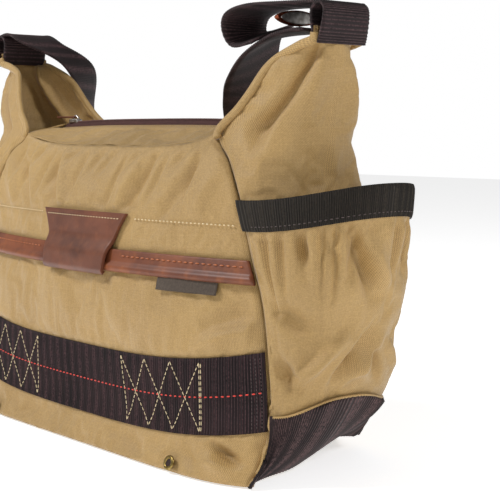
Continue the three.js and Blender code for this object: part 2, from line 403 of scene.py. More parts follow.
def lay(surface: Surface, columns: int, rows: int, lift: Lift | float = 0.0) -> np.ndarray:
    """Sample a surface into a grid of points.

    Args:
        surface: the place in mm at (u, v).
        columns: cells along u.
        rows: cells along v.
        lift: how far the points are raised along the normal in mm, or a function of (u, v).

    Returns:
        Points in metres, rows by columns by 3.
    """
    us = [i / columns for i in range(columns + 1)]
    vs = [j / rows for j in range(rows + 1)]
    points = np.array([[surface(u, v) for u in us] for v in vs]) * MM
    if callable(lift):
        raised = np.array([[lift(u, v) for u in us] for v in vs])[..., None]
    else:
        raised = lift
    return points + grid_normals(points) * raised * MM


def lengths(points: np.ndarray) -> tuple[float, float]:
    """The longest row and the longest column of a grid, in the points' units.

    Args:
        points: rows by columns by 3.

    Returns:
        The two lengths.
    """
    along = np.linalg.norm(np.diff(points, axis=1), axis=2).sum(axis=1).max()
    up = np.linalg.norm(np.diff(points, axis=0), axis=2).sum(axis=0).max()
    return float(along), float(up)


def rib_count(surface: Surface, pitch: float) -> float:
    """How many ribs of a pitch in mm fit along a surface's u, as its UV map measures it."""
    return lengths(lay(surface, 80, 6))[0] / MM / pitch


def select_only(piece: bpy.types.Object) -> None:
    """Leave one object selected and active.

    Args:
        piece: the piece.
    """
    bpy.ops.object.select_all(action="DESELECT")
    piece.select_set(True)
    bpy.context.view_layer.objects.active = piece


def added(add: Callable[..., Any], **settings: Any) -> bpy.types.Object:
    """Add a primitive with one of Blender's operators, selected on its own, and return it.

    Args:
        add: the operator.
        settings: its settings.

    Returns:
        The new object.
    """
    bpy.ops.object.select_all(action="DESELECT")
    add(**settings)
    return bpy.context.active_object


def grid_piece(name: str, points: np.ndarray) -> bpy.types.Object:
    """Make a sheet from a primitive grid, with its UV map in metres along the cloth.

    Args:
        name: the piece's name.
        points: rows by columns by 3, in metres.

    Returns:
        The new object.
    """
    rows, columns = points.shape[0] - 1, points.shape[1] - 1
    piece = added(bpy.ops.mesh.primitive_grid_add, x_subdivisions=columns,
                  y_subdivisions=rows, size=1)
    piece.name = name
    piece.data.name = name
    piece.data.vertices.foreach_set("co", points.reshape(-1).astype(np.float32))
    layer = piece.data.uv_layers[0]
    uv = np.empty(len(layer.data) * 2, dtype=np.float32)
    layer.data.foreach_get("uv", uv)
    along, up = lengths(points)
    uv = uv.reshape(-1, 2) * np.array([along, up], dtype=np.float32)
    layer.data.foreach_set("uv", uv.reshape(-1))
    piece.data.shade_smooth()
    piece.data.update()
    return piece


def apply_modifiers(piece: bpy.types.Object) -> None:
    """Apply all of a piece's modifiers in order.

    Args:
        piece: the piece.
    """
    select_only(piece)
    for modifier in list(piece.modifiers):
        bpy.ops.object.modifier_apply(modifier=modifier.name)


def thicken(piece: bpy.types.Object, thickness: float, offset: float = -1.0,
            rim_slot: int = 0, bevel: float = 0.0) -> None:
    """Turn an open sheet into a closed wall.

    Args:
        piece: the sheet.
        thickness: in mm.
        offset: -1 grows inwards and 1 outwards.
        rim_slot: how many material slots on the rim's own finish is.
        bevel: the rounding of the rim in mm.
    """
    wall = piece.modifiers.new("wall", "SOLIDIFY")
    wall.thickness = thickness * MM
    wall.offset = offset
    wall.material_offset_rim = rim_slot
    if bevel:
        edge = piece.modifiers.new("edge", "BEVEL")
        edge.width = bevel * MM
        edge.segments = 2
        edge.limit_method = "ANGLE"
        edge.angle_limit = math.radians(50)
    apply_modifiers(piece)
    piece.data.shade_smooth()


def settle_cloth(piece: bpy.types.Object, pins: np.ndarray, growth: float, pressure: float,
                 cap: float, frames: int = 16, bending: float = 0.6) -> None:
    """Let a sewn sheet wrinkle: it grows a little while its seams hold it.

    Args:
        piece: the open sheet.
        pins: one weight for each vertex, 1 where the cloth is sewn down.
        growth: the share by which the cloth is larger than its place.
        pressure: what pushes it out from inside.
        cap: the furthest that a point may move, in mm.
        frames: how long it settles.
        bending: its stiffness against folds.
    """
    group = piece.vertex_groups.new(name="sewn")
    for index, weight in enumerate(pins.reshape(-1)):
        if weight > 0:
            group.add([index], float(weight), "REPLACE")
    cloth = piece.modifiers.new("cloth", "CLOTH")
    settings = cloth.settings
    settings.vertex_group_mass = group.name
    settings.pin_stiffness = 1
    settings.shrink_min = -growth
    settings.mass = 0.15
    settings.quality = 4
    settings.bending_stiffness = bending
    settings.tension_stiffness = 15
    settings.compression_stiffness = 12
    settings.shear_stiffness = 4
    settings.air_damping = 4
    settings.use_pressure = pressure != 0
    settings.uniform_pressure_force = pressure
    settings.effector_weights.gravity = 0
    scene = bpy.context.scene
    before = np.empty(len(piece.data.vertices) * 3, dtype=np.float32)
    piece.data.vertices.foreach_get("co", before)
    for number in range(1, frames + 1):
        scene.frame_set(number)
    shown = piece.evaluated_get(bpy.context.evaluated_depsgraph_get())
    after = np.empty_like(before)
    shown.data.vertices.foreach_get("co", after)
    piece.modifiers.remove(cloth)
    scene.frame_set(1)
    move = (after - before).reshape(-1, 3)
    size = np.linalg.norm(move, axis=1, keepdims=True)
    limit = cap * MM
    move *= limit * np.tanh(size / limit) / np.maximum(size, 1e-9)
    piece.data.vertices.foreach_set("co", (before.reshape(-1, 3) + move).reshape(-1))
    piece.data.update()
    piece.vertex_groups.clear()


def edge_pins(points: np.ndarray, sides: str = "udlr") -> np.ndarray:
    """Pins along the borders of a grid: u top, d bottom, l first column, r last column.

    Args:
        points: the grid.
        sides: the letters of the borders to hold.

    Returns:
        One weight for each point, 1 where it is held.
    """
    pins = np.zeros(points.shape[:2])
    if "u" in sides:
        pins[-1, :] = 1
    if "d" in sides:
        pins[0, :] = 1
    if "l" in sides:
        pins[:, 0] = 1
    if "r" in sides:
        pins[:, -1] = 1
    return pins


def swept_piece(name: str, rings: Sequence[Sequence[Place]]) -> bpy.types.Object:
    """Make a closed bar from rings of points, with both ends filled.

    Args:
        name: the piece's name.
        rings: one closed ring of places in mm at each station, in the same order.

    Returns:
        The new object, whose UV map runs along it and around it in metres.
    """
    points = np.array([list(ring) + [ring[0]] for ring in rings]) * MM
    piece = grid_piece(name, np.swapaxes(points, 0, 1))
    select_only(piece)
    bpy.ops.object.mode_set(mode="EDIT")
    bpy.ops.mesh.select_all(action="SELECT")
    bpy.ops.mesh.remove_doubles(threshold=1e-6)
    bpy.ops.mesh.select_all(action="SELECT")
    bpy.ops.mesh.fill_holes(sides=0)
    bpy.ops.mesh.select_all(action="SELECT")
    bpy.ops.mesh.normals_make_consistent(inside=False)
    bpy.ops.object.mode_set(mode="OBJECT")
    piece.data.shade_smooth()
    return piece


def ring_around(centre: Vector, side: Vector, out: Vector,
                profile: Iterable[tuple[float, float]]) -> list[Place]:
    """Place a profile's (side, out) points around a centre, all in mm."""
    return [tuple(centre + side * a + out * b) for a, b in profile]


def round_profile(radius: float, count: int, squash: float = 1.0) -> list[tuple[float, float]]:
    """A round or oval profile of count points.

    Args:
        radius: half its width in mm.
        count: how many points.
        squash: its height as a share of its width.

    Returns:
        The points as (side, out) pairs.
    """
    turn = 2 * math.pi / count
    return [(radius * math.cos(i * turn), radius * squash * math.sin(i * turn))
            for i in range(count)]


def path_frames(path: Sequence[Vector]) -> list[Vector]:
    """The unit direction of a path at each of its points."""
    last = len(path) - 1
    return [(path[min(last, i + 1)] - path[max(0, i - 1)]).normalized() for i in range(last + 1)]


def tube(name: str, path: Sequence[Vector], outs: Sequence[Vector], radius: float,
         squash: float = 1.0, count: int = 10) -> bpy.types.Object:
    """A closed round cord along a path.

    Args:
        name: the piece's name.
        path: its centreline in mm.
        outs: the direction away from the bag at each point.
        radius: in mm.
        squash: the share of its width that it stands out.
        count: the sides of its section.

    Returns:
        The new object.
    """
    rings = []
    for centre, along, out in zip(path, path_frames(path), outs):
        side = along.cross(out).normalized()
        profile = round_profile(radius, count, squash)
        rings.append(ring_around(centre, side, side.cross(along), profile))
    return swept_piece(name, rings)


def joined_copies(name: str, model: bpy.types.Object, places: Sequence[Matrix]) -> bpy.types.Object:
    """Copy a small model to many places as one mesh.

    Args:
        name: the piece's name.
        model: the modelled piece, which is used up.
        places: where each copy goes, in metres.

    Returns:
        The new object at the origin.
    """
    source = model.data
    count = len(source.vertices)
    local = np.empty(count * 3, dtype=np.float64)
    source.vertices.foreach_get("co", local)
    local = np.c_[local.reshape(-1, 3), np.ones(count)]
    faces = [tuple(polygon.vertices) for polygon in source.polygons]
    spots = np.concatenate([local @ np.array(place).T for place in places])[:, :3]
    everything = [tuple(i + k * count for i in face) for k in range(len(places)) for face in faces]
    mesh = bpy.data.meshes.new(name)
    mesh.from_pydata(spots.tolist(), [], everything)
    mesh.shade_smooth()
    piece = bpy.data.objects.new(name, mesh)
    bpy.context.collection.objects.link(piece)
    bpy.data.objects.remove(model)
    return piece


def stitch_row(name: str, path: Sequence[Vector], outs: Sequence[Vector], pitch: float,
               share: float, radius: float) -> bpy.types.Object:
    """A row of separate thread stitches along a path.

    Args:
        name: the piece's name.
        path: closely spaced points in mm.
        outs: the cloth's normal at each point.
        pitch: from one stitch to the next in mm.
        share: how much of the pitch shows thread.
        radius: half the thread's thickness in mm.

    Returns:
        The new object.
    """
    model = added(bpy.ops.mesh.primitive_uv_sphere_add, segments=6, ring_count=4, radius=1)
    gaps = [(b - a).length for a, b in zip(path, path[1:])]
    total = sum(gaps)
    count = max(1, round(total / pitch))
    starts = np.concatenate([[0], np.cumsum(gaps)])
    places = []
    for k in range(count):
        middle = (k + 0.5) * total / count
        i = min(len(gaps) - 1, int(np.searchsorted(starts, middle) - 1))
        t = (middle - starts[i]) / max(gaps[i], 1e-9)
        spot = path[i].lerp(path[i + 1], t)
        along = (path[i + 1] - path[i]).normalized()
        out = outs[i]
        side = out.cross(along).normalized()
        out = along.cross(side)
        half = 0.5 * share * total / count
        axes = Matrix((along * half, side * radius, out * radius)).transposed().to_4x4() * MM
        axes[3][3] = 1
        places.append(Matrix.Translation(spot * MM) @ axes)
    return joined_copies(name, model, places)


def along_surface(surface: Surface, ends: Sequence[tuple[float, float]], lift: float,
                  steps: int = 60) -> tuple[list[Vector], list[Vector]]:
    """Follow straight runs of (u, v) over a surface.

    Args:
        surface: the place in mm at (u, v).
        ends: the corners of the run.
        lift: how far above the surface the path runs, in mm.
        steps: points on each run.

    Returns:
        The path in mm and the surface's normals along it.
    """
    path, outs = [], []
    for (u0, v0), (u1, v1) in zip(ends, ends[1:]):
        for i in range(steps + 1):
            u, v = mix(u0, u1, i / steps), mix(v0, v1, i / steps)
            spot = Vector(surface(u, v))
            across = Vector(surface(u + 0.002, v)) - Vector(surface(u - 0.002, v))
            up = Vector(surface(u, v + 0.002)) - Vector(surface(u, v - 0.002))
            out = across.cross(up).normalized()
            path.append(spot + out * lift)
            outs.append(out)
    return path, outs


# ---------------------------------------------------------------- finishes


class Graph:
    """A small helper that wires a material's nodes."""

    def __init__(self, name: str) -> None:
        """Start an empty material with one principled shader.

        Args:
            name: the material's name.
        """
        self.material = bpy.data.materials.new(name)
        self.material.use_nodes = True
        self.tree = self.material.node_tree
        self.tree.nodes.clear()
        self.output = self.tree.nodes.new("ShaderNodeOutputMaterial")
        self.shader = self.tree.nodes.new("ShaderNodeBsdfPrincipled")
        self.tree.links.new(self.shader.outputs[0], self.output.inputs[0])

    def node(self, kind: str, inputs: dict[Any, Any] | None = None, **settings: Any) -> Any:
        """Add a node.

        Args:
            kind: the node's type name without its ShaderNode prefix.
            inputs: values or sockets for its inputs, by name or number.
            settings: attributes of the node.

        Returns:
            The node.
        """
        made = self.tree.nodes.new(f"ShaderNode{kind}")
        for key, value in settings.items():
            setattr(made, key, value)
        for key, value in (inputs or {}).items():
            if isinstance(value, bpy.types.NodeSocket):
                self.tree.links.new(value, made.inputs[key])
            else:
                made.inputs[key].default_value = value
        return made

    def math(self, operation: str, a: Any, b: Any = 0.0, c: Any = 0.0) -> Any:
        """The output socket of a math node."""
        return self.node("Math", {0: a, 1: b, 2: c}, operation=operation).outputs[0]

    def blend(self, amount: Any, a: Any, b: Any) -> Any:
        """The output socket of a colour mix from a to b.

        Args:
            amount: the share of b.
            a: a colour or its socket.
            b: a colour or its socket.

        Returns:
            The mixed colour's socket.
        """
        made = self.node("Mix", data_type="RGBA")
        for socket, value in ((0, amount), (6, a), (7, b)):
            if isinstance(value, bpy.types.NodeSocket):
                self.tree.links.new(value, made.inputs[socket])
            else:
                made.inputs[socket].default_value = value
        return made.outputs[2]

    def cloth_axes(self) -> tuple[Any, Any]:
        """The distances along and up the cloth in metres, from its own UV map.

        Returns:
            The two sockets.
        """
        place = self.node("UVMap", uv_map="UVMap")
        parts = self.node("SeparateXYZ", {0: place.outputs[0]})
        return parts.outputs[0], parts.outputs[1]

    def ridges(self, distance: Any, pitch: float, phase: float = 0.0) -> Any:
        """A wave from 0 to 1 with a pitch in mm along a distance in metres."""
        turns = self.math("MULTIPLY_ADD", distance, 2 * math.pi / (pitch * MM), phase)
        return self.math("MULTIPLY_ADD", self.math("SINE", turns), 0.5, 0.5)

    def grains(self, scale: float, detail: float = 3.0, kind: str = "Object") -> Any:
        """Fine noise from 0 to 1 on the piece's own coordinates."""
        place = self.node("TexCoord").outputs[kind]
        return self.node("TexNoise", {"Vector": place, "Scale": scale, "Detail": detail}).outputs[0]

    def range(self, value: Any, low: float, high: float) -> Any:
        """Stretch a 0 to 1 value so that low becomes 0 and high becomes 1, clamped."""
        return self.node("MapRange", {0: value, 1: low, 2: high}).outputs[0]

    def finish(self, colour: Any, height: Any, strength: float, depth_mm: float,
               rough: float, **constants: float) -> bpy.types.Material:
        """Wire the shader.

        Args:
            colour: the base colour's socket.
            height: the bump's socket.
            strength: the bump's strength.
            depth_mm: the bump's depth.
            rough: the roughness.
            constants: other shader inputs by name with _ for spaces.

        Returns:
            The finished material.
        """
        self.tree.links.new(colour, self.shader.inputs["Base Color"])
        bump = self.node("Bump", {"Strength": strength, "Distance": depth_mm * MM,
                                  "Height": height})
        self.tree.links.new(bump.outputs[0], self.shader.inputs["Normal"])
        self.shader.inputs["Roughness"].default_value = rough
        for key, value in constants.items():
            self.shader.inputs[key.replace("_", " ")].default_value = value
        return self.material


def rgb(code: str, gain: float = 1.0) -> tuple[float, float, float, float]:
    """A linear colour from a hex code.

    Args:
        code: a hash and six digits.
        gain: what the colour is multiplied by.

    Returns:
        Red, green, blue and 1.
    """
    parts = [int(code[i:i + 2], 16) / 255 for i in (1, 3, 5)]
    linear = [p / 12.92 if p <= 0.04045 else ((p + 0.055) / 1.055) ** 2.4 for p in parts]
    return (*(min(1.0, value * gain) for value in linear), 1.0)


@dataclass(frozen=True)
class RipstopNylon:
    """Tightly woven nylon with a faint grid of thicker threads and a soft sheen."""

    name: str
    light: str
    dark: str
    thread: float = 1.0
    grid: float = 4.4
    rough: float = 0.52

    def material(self) -> bpy.types.Material:
        """Build the cloth's material.

        Returns:
            The finished material.
        """
        graph = Graph(self.name)
        u, v = graph.cloth_axes()
        warp = graph.ridges(u, self.thread * 1.1)
        weft = graph.ridges(v, self.thread)
        slant = graph.math("ADD", u, v)
        twill = graph.ridges(slant, self.thread * 1.35)
        weave = graph.math("MULTIPLY_ADD", warp, 0.35, graph.math("MULTIPLY", weft, 0.2))
        weave = graph.math("ADD", weave, graph.math("MULTIPLY", twill, 0.45))
        lines = [graph.range(graph.ridges(axis, self.grid), 0.975, 1.0) for axis in (u, v)]
        grid = graph.math("MAXIMUM", *lines)
        speckle = graph.grains(900, 2)
        patches = graph.grains(14, 3)
        flecks = graph.math("MULTIPLY", graph.range(speckle, 0.3, 0.7), 0.2)
        tone = graph.math("MULTIPLY_ADD", weave, 0.8, flecks)
        base = graph.blend(tone, rgb(self.dark), rgb(self.light))
        worn = graph.blend(graph.math("MULTIPLY", graph.range(patches, 0.35, 0.75), 0.22),
                           base, rgb(self.light, 1.12))
        broken = graph.math("MULTIPLY", grid, graph.range(graph.grains(300, 2), 0.4, 0.6))
        lined = graph.blend(graph.math("MULTIPLY", broken, 0.2), worn, rgb(self.light, 1.2))
        height = graph.math("ADD", weave, graph.math("MULTIPLY", grid, 0.5))
        return graph.finish(lined, height, 0.7, 0.22, self.rough, Sheen_Weight=0.18,
                            Sheen_Roughness=0.4, Specular_IOR_Level=0.42)


@dataclass(frozen=True)
class RibbedWebbing:
    """Woven tape with cross ribs and twill between them; the rib crests carry a painted highlight
    and the troughs painted shade.
    """

    name: str
    # deep: the tape's dark colour deepened by painted shade, used in the troughs between the ribs.
    deep: str
    # rib: the tape's colour lifted by a painted highlight, used on the rib crests; random patches
    # are blended towards it too.
    rib: str
    pitch: float = 2.3
    fleck: float = 0.8
    rough: float = 0.62

    def material(self) -> bpy.types.Material:
        """Build the tape's material.

        Returns:
            The finished material.
        """
        graph = Graph(self.name)
        u, v = graph.cloth_axes()
        ribs = graph.ridges(u, self.pitch, math.pi / 2)
        threads = graph.ridges(v, self.fleck)
        slant = graph.ridges(graph.math("ADD", u, v), self.fleck * 1.3)
        # Painted highlight along each rib's crest, broken by the threads; where it is low, the
        # trough colour gives painted shade.
        crest_highlight = graph.math("MULTIPLY", graph.range(ribs, 0.45, 1.0),
                           graph.math("MULTIPLY_ADD", threads, 0.75, 0.25))
        speckle = graph.range(graph.grains(700, 2), 0.3, 0.75)
        tone = graph.math("MULTIPLY", crest_highlight, speckle)
        base = graph.blend(tone, rgb(self.deep), rgb(self.rib))
        patches = graph.math("MULTIPLY", graph.range(graph.grains(20, 3), 0.4, 0.8), 0.15)
        aged = graph.blend(patches, base, rgb(self.rib))
        height = graph.math("ADD", graph.math("MULTIPLY", threads, 0.5),
                            graph.math("MULTIPLY", slant, 0.5))
        return graph.finish(aged, height, 0.5, 0.22, self.rough, Sheen_Weight=0.03,
                            Specular_IOR_Level=0.22)


@dataclass(frozen=True)
class OiledLeather:
    """Pull-up leather: fine pores, darker creases and a warmer tone where it is worn."""

    name: str
    body: str
    worn: str
    deep: str
    rough: float = 0.42

    def material(self) -> bpy.types.Material:
        """Build the leather's material.

        Returns:
            The finished material.
        """
        graph = Graph(self.name)
        place = graph.node("TexCoord").outputs["Object"]
        pores = graph.node("TexVoronoi", {"Vector": place, "Scale": 900}).outputs[0]
        clouds = graph.grains(38, 5)
        streaks = graph.grains(160, 4)
        tone = graph.range(clouds, 0.32, 0.72)
        base = graph.blend(tone, rgb(self.deep), rgb(self.body))
        base = graph.blend(graph.math("MULTIPLY", graph.range(streaks, 0.5, 0.8), 0.35),
                           base, rgb(self.worn))
        height = graph.math("ADD", graph.math("MULTIPLY", pores, 0.6),
                            graph.math("MULTIPLY", streaks, 0.6))
        return graph.finish(base, height, 0.35, 0.25, self.rough, Coat_Weight=0.08,
                            Coat_Roughness=0.35, Specular_IOR_Level=0.45)


@dataclass(frozen=True)
class Thread:
    """Twisted sewing thread."""

    name: str
    tone: str
    shade: str

    def material(self) -> bpy.types.Material:
        """Build the thread's material.

        Returns:
            The finished material.
        """
        graph = Graph(self.name)
        twist = graph.grains(1500, 2)
        base = graph.blend(graph.range(twist, 0.3, 0.7), rgb(self.shade), rgb(self.tone))
        return graph.finish(base, twist, 0.3, 0.1, 0.55, Sheen_Weight=0.2)


@dataclass(frozen=True)
class WornMetal:
    """Plated metal with fine scratches and darker plating in patches."""

    name: str
    bright: str
    dull: str
    rough: float = 0.34

    def material(self) -> bpy.types.Material:
        """Build the metal's material.

        Returns:
            The finished material.
        """
        graph = Graph(self.name)
        stain = graph.range(graph.grains(260, 4), 0.35, 0.7)
        base = graph.blend(stain, rgb(self.dull), rgb(self.bright))
        scratches = graph.grains(1400, 2)
        return graph.finish(base, scratches, 0.12, 0.05, self.rough, Metallic=0.9)


@dataclass(frozen=True)
class BrushedLining:
    """Soft brushed knit over foam."""

    name: str
    light: str
    dark: str

    def material(self) -> bpy.types.Material:
        """Build the lining's material.

        Returns:
            The finished material.
        """
        graph = Graph(self.name)
        pile = graph.grains(1100, 4)
        clouds = graph.range(graph.grains(30, 3), 0.3, 0.7)
        fuzz = graph.blend(graph.range(pile, 0.3, 0.7), rgb(self.dark), rgb(self.light))
        base = graph.blend(graph.math("MULTIPLY", clouds, 0.25), fuzz, rgb(self.light))
        return graph.finish(base, pile, 0.4, 0.3, 0.85, Sheen_Weight=0.3)


KHAKI = RipstopNylon("khaki_ripstop", "#cdaa6e", "#6f5128")
# Every ribbed webbing finish below (tapes, elastic, zip tape and label) paints a highlight on its
# rib crests and shade in its troughs.
WEBBING = RibbedWebbing("brown_webbing_ribs", "#170d0f", "#66474a")
TOE_WEBBING = RibbedWebbing("toe_webbing_ribs", "#1a1011", "#8a6a69")
STRAP_WEBBING = RibbedWebbing("sling_webbing_ribs", "#191011", "#6b5052", pitch=2.1)
ELASTIC = RibbedWebbing("pocket_elastic", "#171310", "#4d4438", pitch=1.8, fleck=0.7, rough=0.7)
LEATHER = OiledLeather("oiled_leather", "#7b4832", "#955a39", "#553123")
STRIP_LEATHER = OiledLeather("rolled_leather", "#874a29", "#b0672f", "#5a2d1c", rough=0.5)
# Dark edge paint on the leather's rims; the same dark finish also makes the eyelets' hole discs of
# painted shade.
EDGE_PAINT_AND_HOLE_SHADE = OiledLeather("painted_leather_edge", "#3a1f1c", "#5a3028", "#24110f", rough=0.5)
CREAM_THREAD = Thread("cream_thread", "#f0dfb6", "#c9b184")
RED_THREAD = Thread("red_thread", "#ff4630", "#d03020")
TAN_THREAD = Thread("tan_thread", "#c9743c", "#8f4a24")
KHAKI_THREAD = Thread("khaki_thread", "#a98a50", "#7d6231")
DARK_THREAD = Thread("dark_thread", "#5d4a48", "#3a2c2b")
ZIP_TAPE = RibbedWebbing("zip_tape_weave", "#3c2422", "#7a4c44", pitch=0.9, fleck=0.7, rough=0.7)
ZIP_COIL = Thread("zip_coil_nylon", "#6b4038", "#45261f")
# Satin nickel for the zip slider; the same grey metal also makes the strap bar's painted
# reflection.
SATIN_METAL_AND_BAR_REFLECTION = WornMetal("satin_nickel", "#cfcac6", "#8d8781")
COPPER_EDGE = WornMetal("copper_plate", "#a35a3a", "#6d3423", rough=0.38)
BRASS = WornMetal("aged_brass_plate", "#b59c5e", "#6f5b2f")
LABEL = RibbedWebbing("label_weave", "#4a4038", "#84776a", pitch=0.8, fleck=0.6, rough=0.75)
LINING = BrushedLining("brushed_lining", "#7d7266", "#51483f")
BOARD = BrushedLining("board_fibre", "#46413e", "#2c2927")
_MADE: dict[str, bpy.types.Material] = {}


def dressed(piece: bpy.types.Object, *finishes: Any) -> bpy.types.Object:
    """Give a piece its finishes, each made once.

    Args:
        piece: the piece.
        finishes: one for each material slot.

    Returns:
        The same piece.
    """
    piece.data.materials.clear()
    for finish in finishes:
        if finish.name not in _MADE:
            _MADE[finish.name] = finish.material()
        piece.data.materials.append(_MADE[finish.name])
    return piece


def place_piece(piece: bpy.types.Object, body: Body, slot: Slot, *nodes: str) -> None:
    """Say which body a piece rides on and hide the CAD nodes that it stands for.

    Args:
        piece: the piece.
        body: the body that it rides on.
        slot: its material slot; not used.
        nodes: the CAD nodes that it stands for.
    """
    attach(piece, body.value)
    if nodes:
        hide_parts(*nodes)


@dataclass
class Assembly:
    """A sub-assembly and the pieces that it has made."""

    made: list[bpy.types.Object] = field(default_factory=list)

    def keep(self, piece: bpy.types.Object, finish: Any, body: Body, slot: Slot,
             *nodes: str) -> None:
        """Dress a piece, place it on its body and count it as made.

        Args:
            piece: the piece.
            finish: its one finish.
            body: the body that it rides on.
            slot: its material slot.
            nodes: the CAD nodes that it replaces.
        """
        dressed(piece, finish)
        place_piece(piece, body, slot, *nodes)
        self.made.append(piece)


# ---------------------------------------------------------------- the bag's sewn shell


@dataclass
class Shell(Assembly):
    """The front, back and end panels, the ears' hems, the base and the top gussets."""

    cloth: float = 1.4
    columns: int = 150
    rows: int = 100
    hem_radius: float = 3.0

    def front_creases(self) -> list[Crease]:
        """The puckers under the top seam and the folds beside the side seam, over (x, z).

        Returns:
            The creases.
        """
        creases = []
        for i in range(15):
            x = -112 + 16 * i + 3 * math.sin(3.1 * i)
            reach = 30 + 16 * math.sin(2.3 * i)
            creases.append(Crease((x, 213), (x - 13, 213 - reach), 3.2, 1.9))
        for side in (-1, 1):
            creases += [
                Crease((side * 60, 205), (side * 40, 152), 7, 3.4),
                Crease((side * 48, 205), (side * 30, 156), 6, -1.8),
                Crease((side * 110, 205), (side * 84, 166), 5, 2.8),
                Crease((side * 128, 198), (side * 112, 165), 6, -2.0),
                Crease((side * 172, 114), (side * 128, 96), 8, 3.6),
                Crease((side * 162, 98), (side * 120, 84), 7, -2.2),
                Crease((side * 144, 22), (side * 163, 15), 3.4, 7.5),
                Crease((side * 142, 13), (side * 160, 9), 4.0, -3.6),
                Crease((side * 120, 18), (side * 134, 6), 5.0, 2.4),
                Crease((side * 60, 18), (side * 84, 4), 6.0, 2.0),
            ]
        return creases

    def front_lift(self, seed: float) -> Lift:
        """The cloth's unevenness over the front panel.

        Args:
            seed: makes the front and the back differ.

        Returns:
            A lift in mm at (u, v).
        """
        creases = self.front_creases()

        def lift(u: float, v: float) -> float:
            """The lift at a share of the panel's length and height.

            Args:
                u: the share of the way along.
                v: the share of the way up.

            Returns:
                The lift in mm.
            """
            s = 2 * u - 1
            z = mix(SHAPE.foot, SHAPE.top_at(s), v)
            x, y, _ = SHAPE.front(s, z)
            sewn = smooth(1.0, 0.93, abs(s)) * smooth(0, 0.05, v) * smooth(1.0, 0.965, v)
            trim = 1 - self.under_trim(s, z)
            folds = 1.4 * sum(crease.lift(x, z) for crease in creases)
            swell = 1.5 * crumple(x, y, z, 46, seed) + 0.6 * crumple(x, y, z, 17, seed + 5)
            valley = -2.2 * (1 - smooth(1.0, 0.975, abs(s)))
            return (folds + swell) * sewn * trim + valley - 0.7 * (1 - trim)

        return lift

    @staticmethod
    def under_trim(s: float, z: float) -> float:
        """How firmly the trim holds the front panel flat: 1 under it and 0 clear of it.

        Args:
            s: from -1 at the left seam to 1 at the right one.
            z: the height in mm.

        Returns:
            The share of the hold.
        """
        low = FrontTrim.band_low(s)
        webbing = smooth(low - 5, low + 1, z) * smooth(low + 55, low + 49, z)
        strip = smooth(122, 126, z) * smooth(147, 143, z)
        tab = smooth(62, 56, abs(s) * 165) * smooth(122, 126, z) * smooth(173, 168, z)
        row = 0.9 * smooth(4, 1.5, abs(z - PANEL_ROW_HEIGHT)) * smooth(60, 66, abs(s) * 165)
        beside = abs(s) * SHAPE.seam_reach(z) - EYELET_X
        eyelet = smooth(14, 8, math.hypot(beside, z - EYELET_HEIGHT))
        return max(webbing, strip, tab, row, eyelet)

    def main_panel(self, name: str, back: bool) -> None:
        """Build the front or the back panel.

        Args:
            name: the CAD node that it replaces.
            back: True for the back panel.
        """
        face = SHAPE.back if back else SHAPE.front
        surface: Surface = lambda u, v: face(
            2 * u - 1, mix(SHAPE.foot, SHAPE.top_at(2 * u - 1), v))
        smooth_points = lay(surface, self.columns, self.rows)
        points = lay(surface, self.columns, self.rows, self.front_lift(8.0 if back else 2.0))
        if back:
            points, smooth_points = flipped_grids(1, points, smooth_points)
        piece = grid_piece(f"{name}_cloth", points)
        pins = edge_pins(points)
        for j in range(self.rows + 1):
            for i in range(self.columns + 1):
                s = 2 * i / self.columns - 1
                z = points[j, i, 2] / MM
                pins[j, i] = max(pins[j, i], smooth(0.5, 0.9, self.under_trim(s, z)) * (not back))
        settle_cloth(piece, pins, 0.02, 0.4, 3.5)
        thicken(piece, self.cloth)
        self.keep(piece, KHAKI, Body.BAG, Slot.KHAKI, name)

    @staticmethod
    def end_lift(u: float, v: float) -> float:
        """The folds of an end panel and its ear: a deep tuck down the ear's front and back.

        Args:
            u: the share of the way along.
            v: the share of the way up.

        Returns:
            The lift in mm.
        """
        z = mix(SHAPE.foot, SHAPE.ear_top, v)
        x, y, _ = SHAPE.end(u, z)
        across = min(u, 1 - u)
        gap = abs(across - mix(0.16, 0.26, smooth(222, 276, z)))
        fold = -9.0 * math.exp(-(gap / 0.05) ** 2) * smooth(206, 232, z) * smooth(284, 264, z)
        ridge = 4.5 * math.exp(-((across - 0.36) / 0.07) ** 2) * smooth(205, 235, z)
        ridge *= smooth(280, 255, z)
        swell = 1.6 * crumple(x, y, z, 34, 4.0) + 0.8 * crumple(x, y, z, 13, 9.0)
        held = smooth(0, 0.06, across) * smooth(1.0, 0.95, v)
        return (fold + ridge + swell) * held - 1.4 * (1 - smooth(0, 0.03, across))

    def end_panel(self, side: Side) -> None:
        """Build an end panel with its ear, and the rolled hem along the ear's free edges.

        Args:
            side: the end of the bag.
        """
        surface: Surface = lambda u, v: SHAPE.end(u, mix(SHAPE.foot, SHAPE.ear_top, v))
        smooth_points = lay(surface, 90, 150)
        points = lay(surface, 90, 150, self.end_lift)
        if side is Side.LEFT:
            points, smooth_points = flipped_grids(0, points, smooth_points)
        piece = grid_piece(f"end_panel_{side.word}_cloth", points)
        settle_cloth(piece, edge_pins(points), 0.025, 0.3, 4.0)
        thicken(piece, self.cloth)
        self.keep(piece, KHAKI, Body.BAG, Slot.KHAKI, f"end_panel_{side.word}")
        for word, u in (("front", 0.0), ("back", 1.0)):
            self.ear_hem(side, word, u)

    def ear_hem(self, side: Side, word: str, u: float) -> None:
        """Roll a hem along one free edge of an ear, from the top seam's corner to its top.

        Args:
            side: the end of the bag.
            word: front or back.
            u: 0 for the front edge and 1 for the back one.
        """
        path, outs = [], []
        for i in range(61):
            z = mix(219, 284, i / 60)
            x, y, _ = SHAPE.end(u, z)
            path.append(Vector((x * side.value, y, z)))
            outs.append(Vector((0.2 * side.value, math.copysign(1, y), 0)).normalized())
        hem = tube(f"ear_hem_{word}_{side.word}", path, outs, self.hem_radius, 0.8)
        self.keep(hem, KHAKI, Body.BAG, Slot.KHAKI)

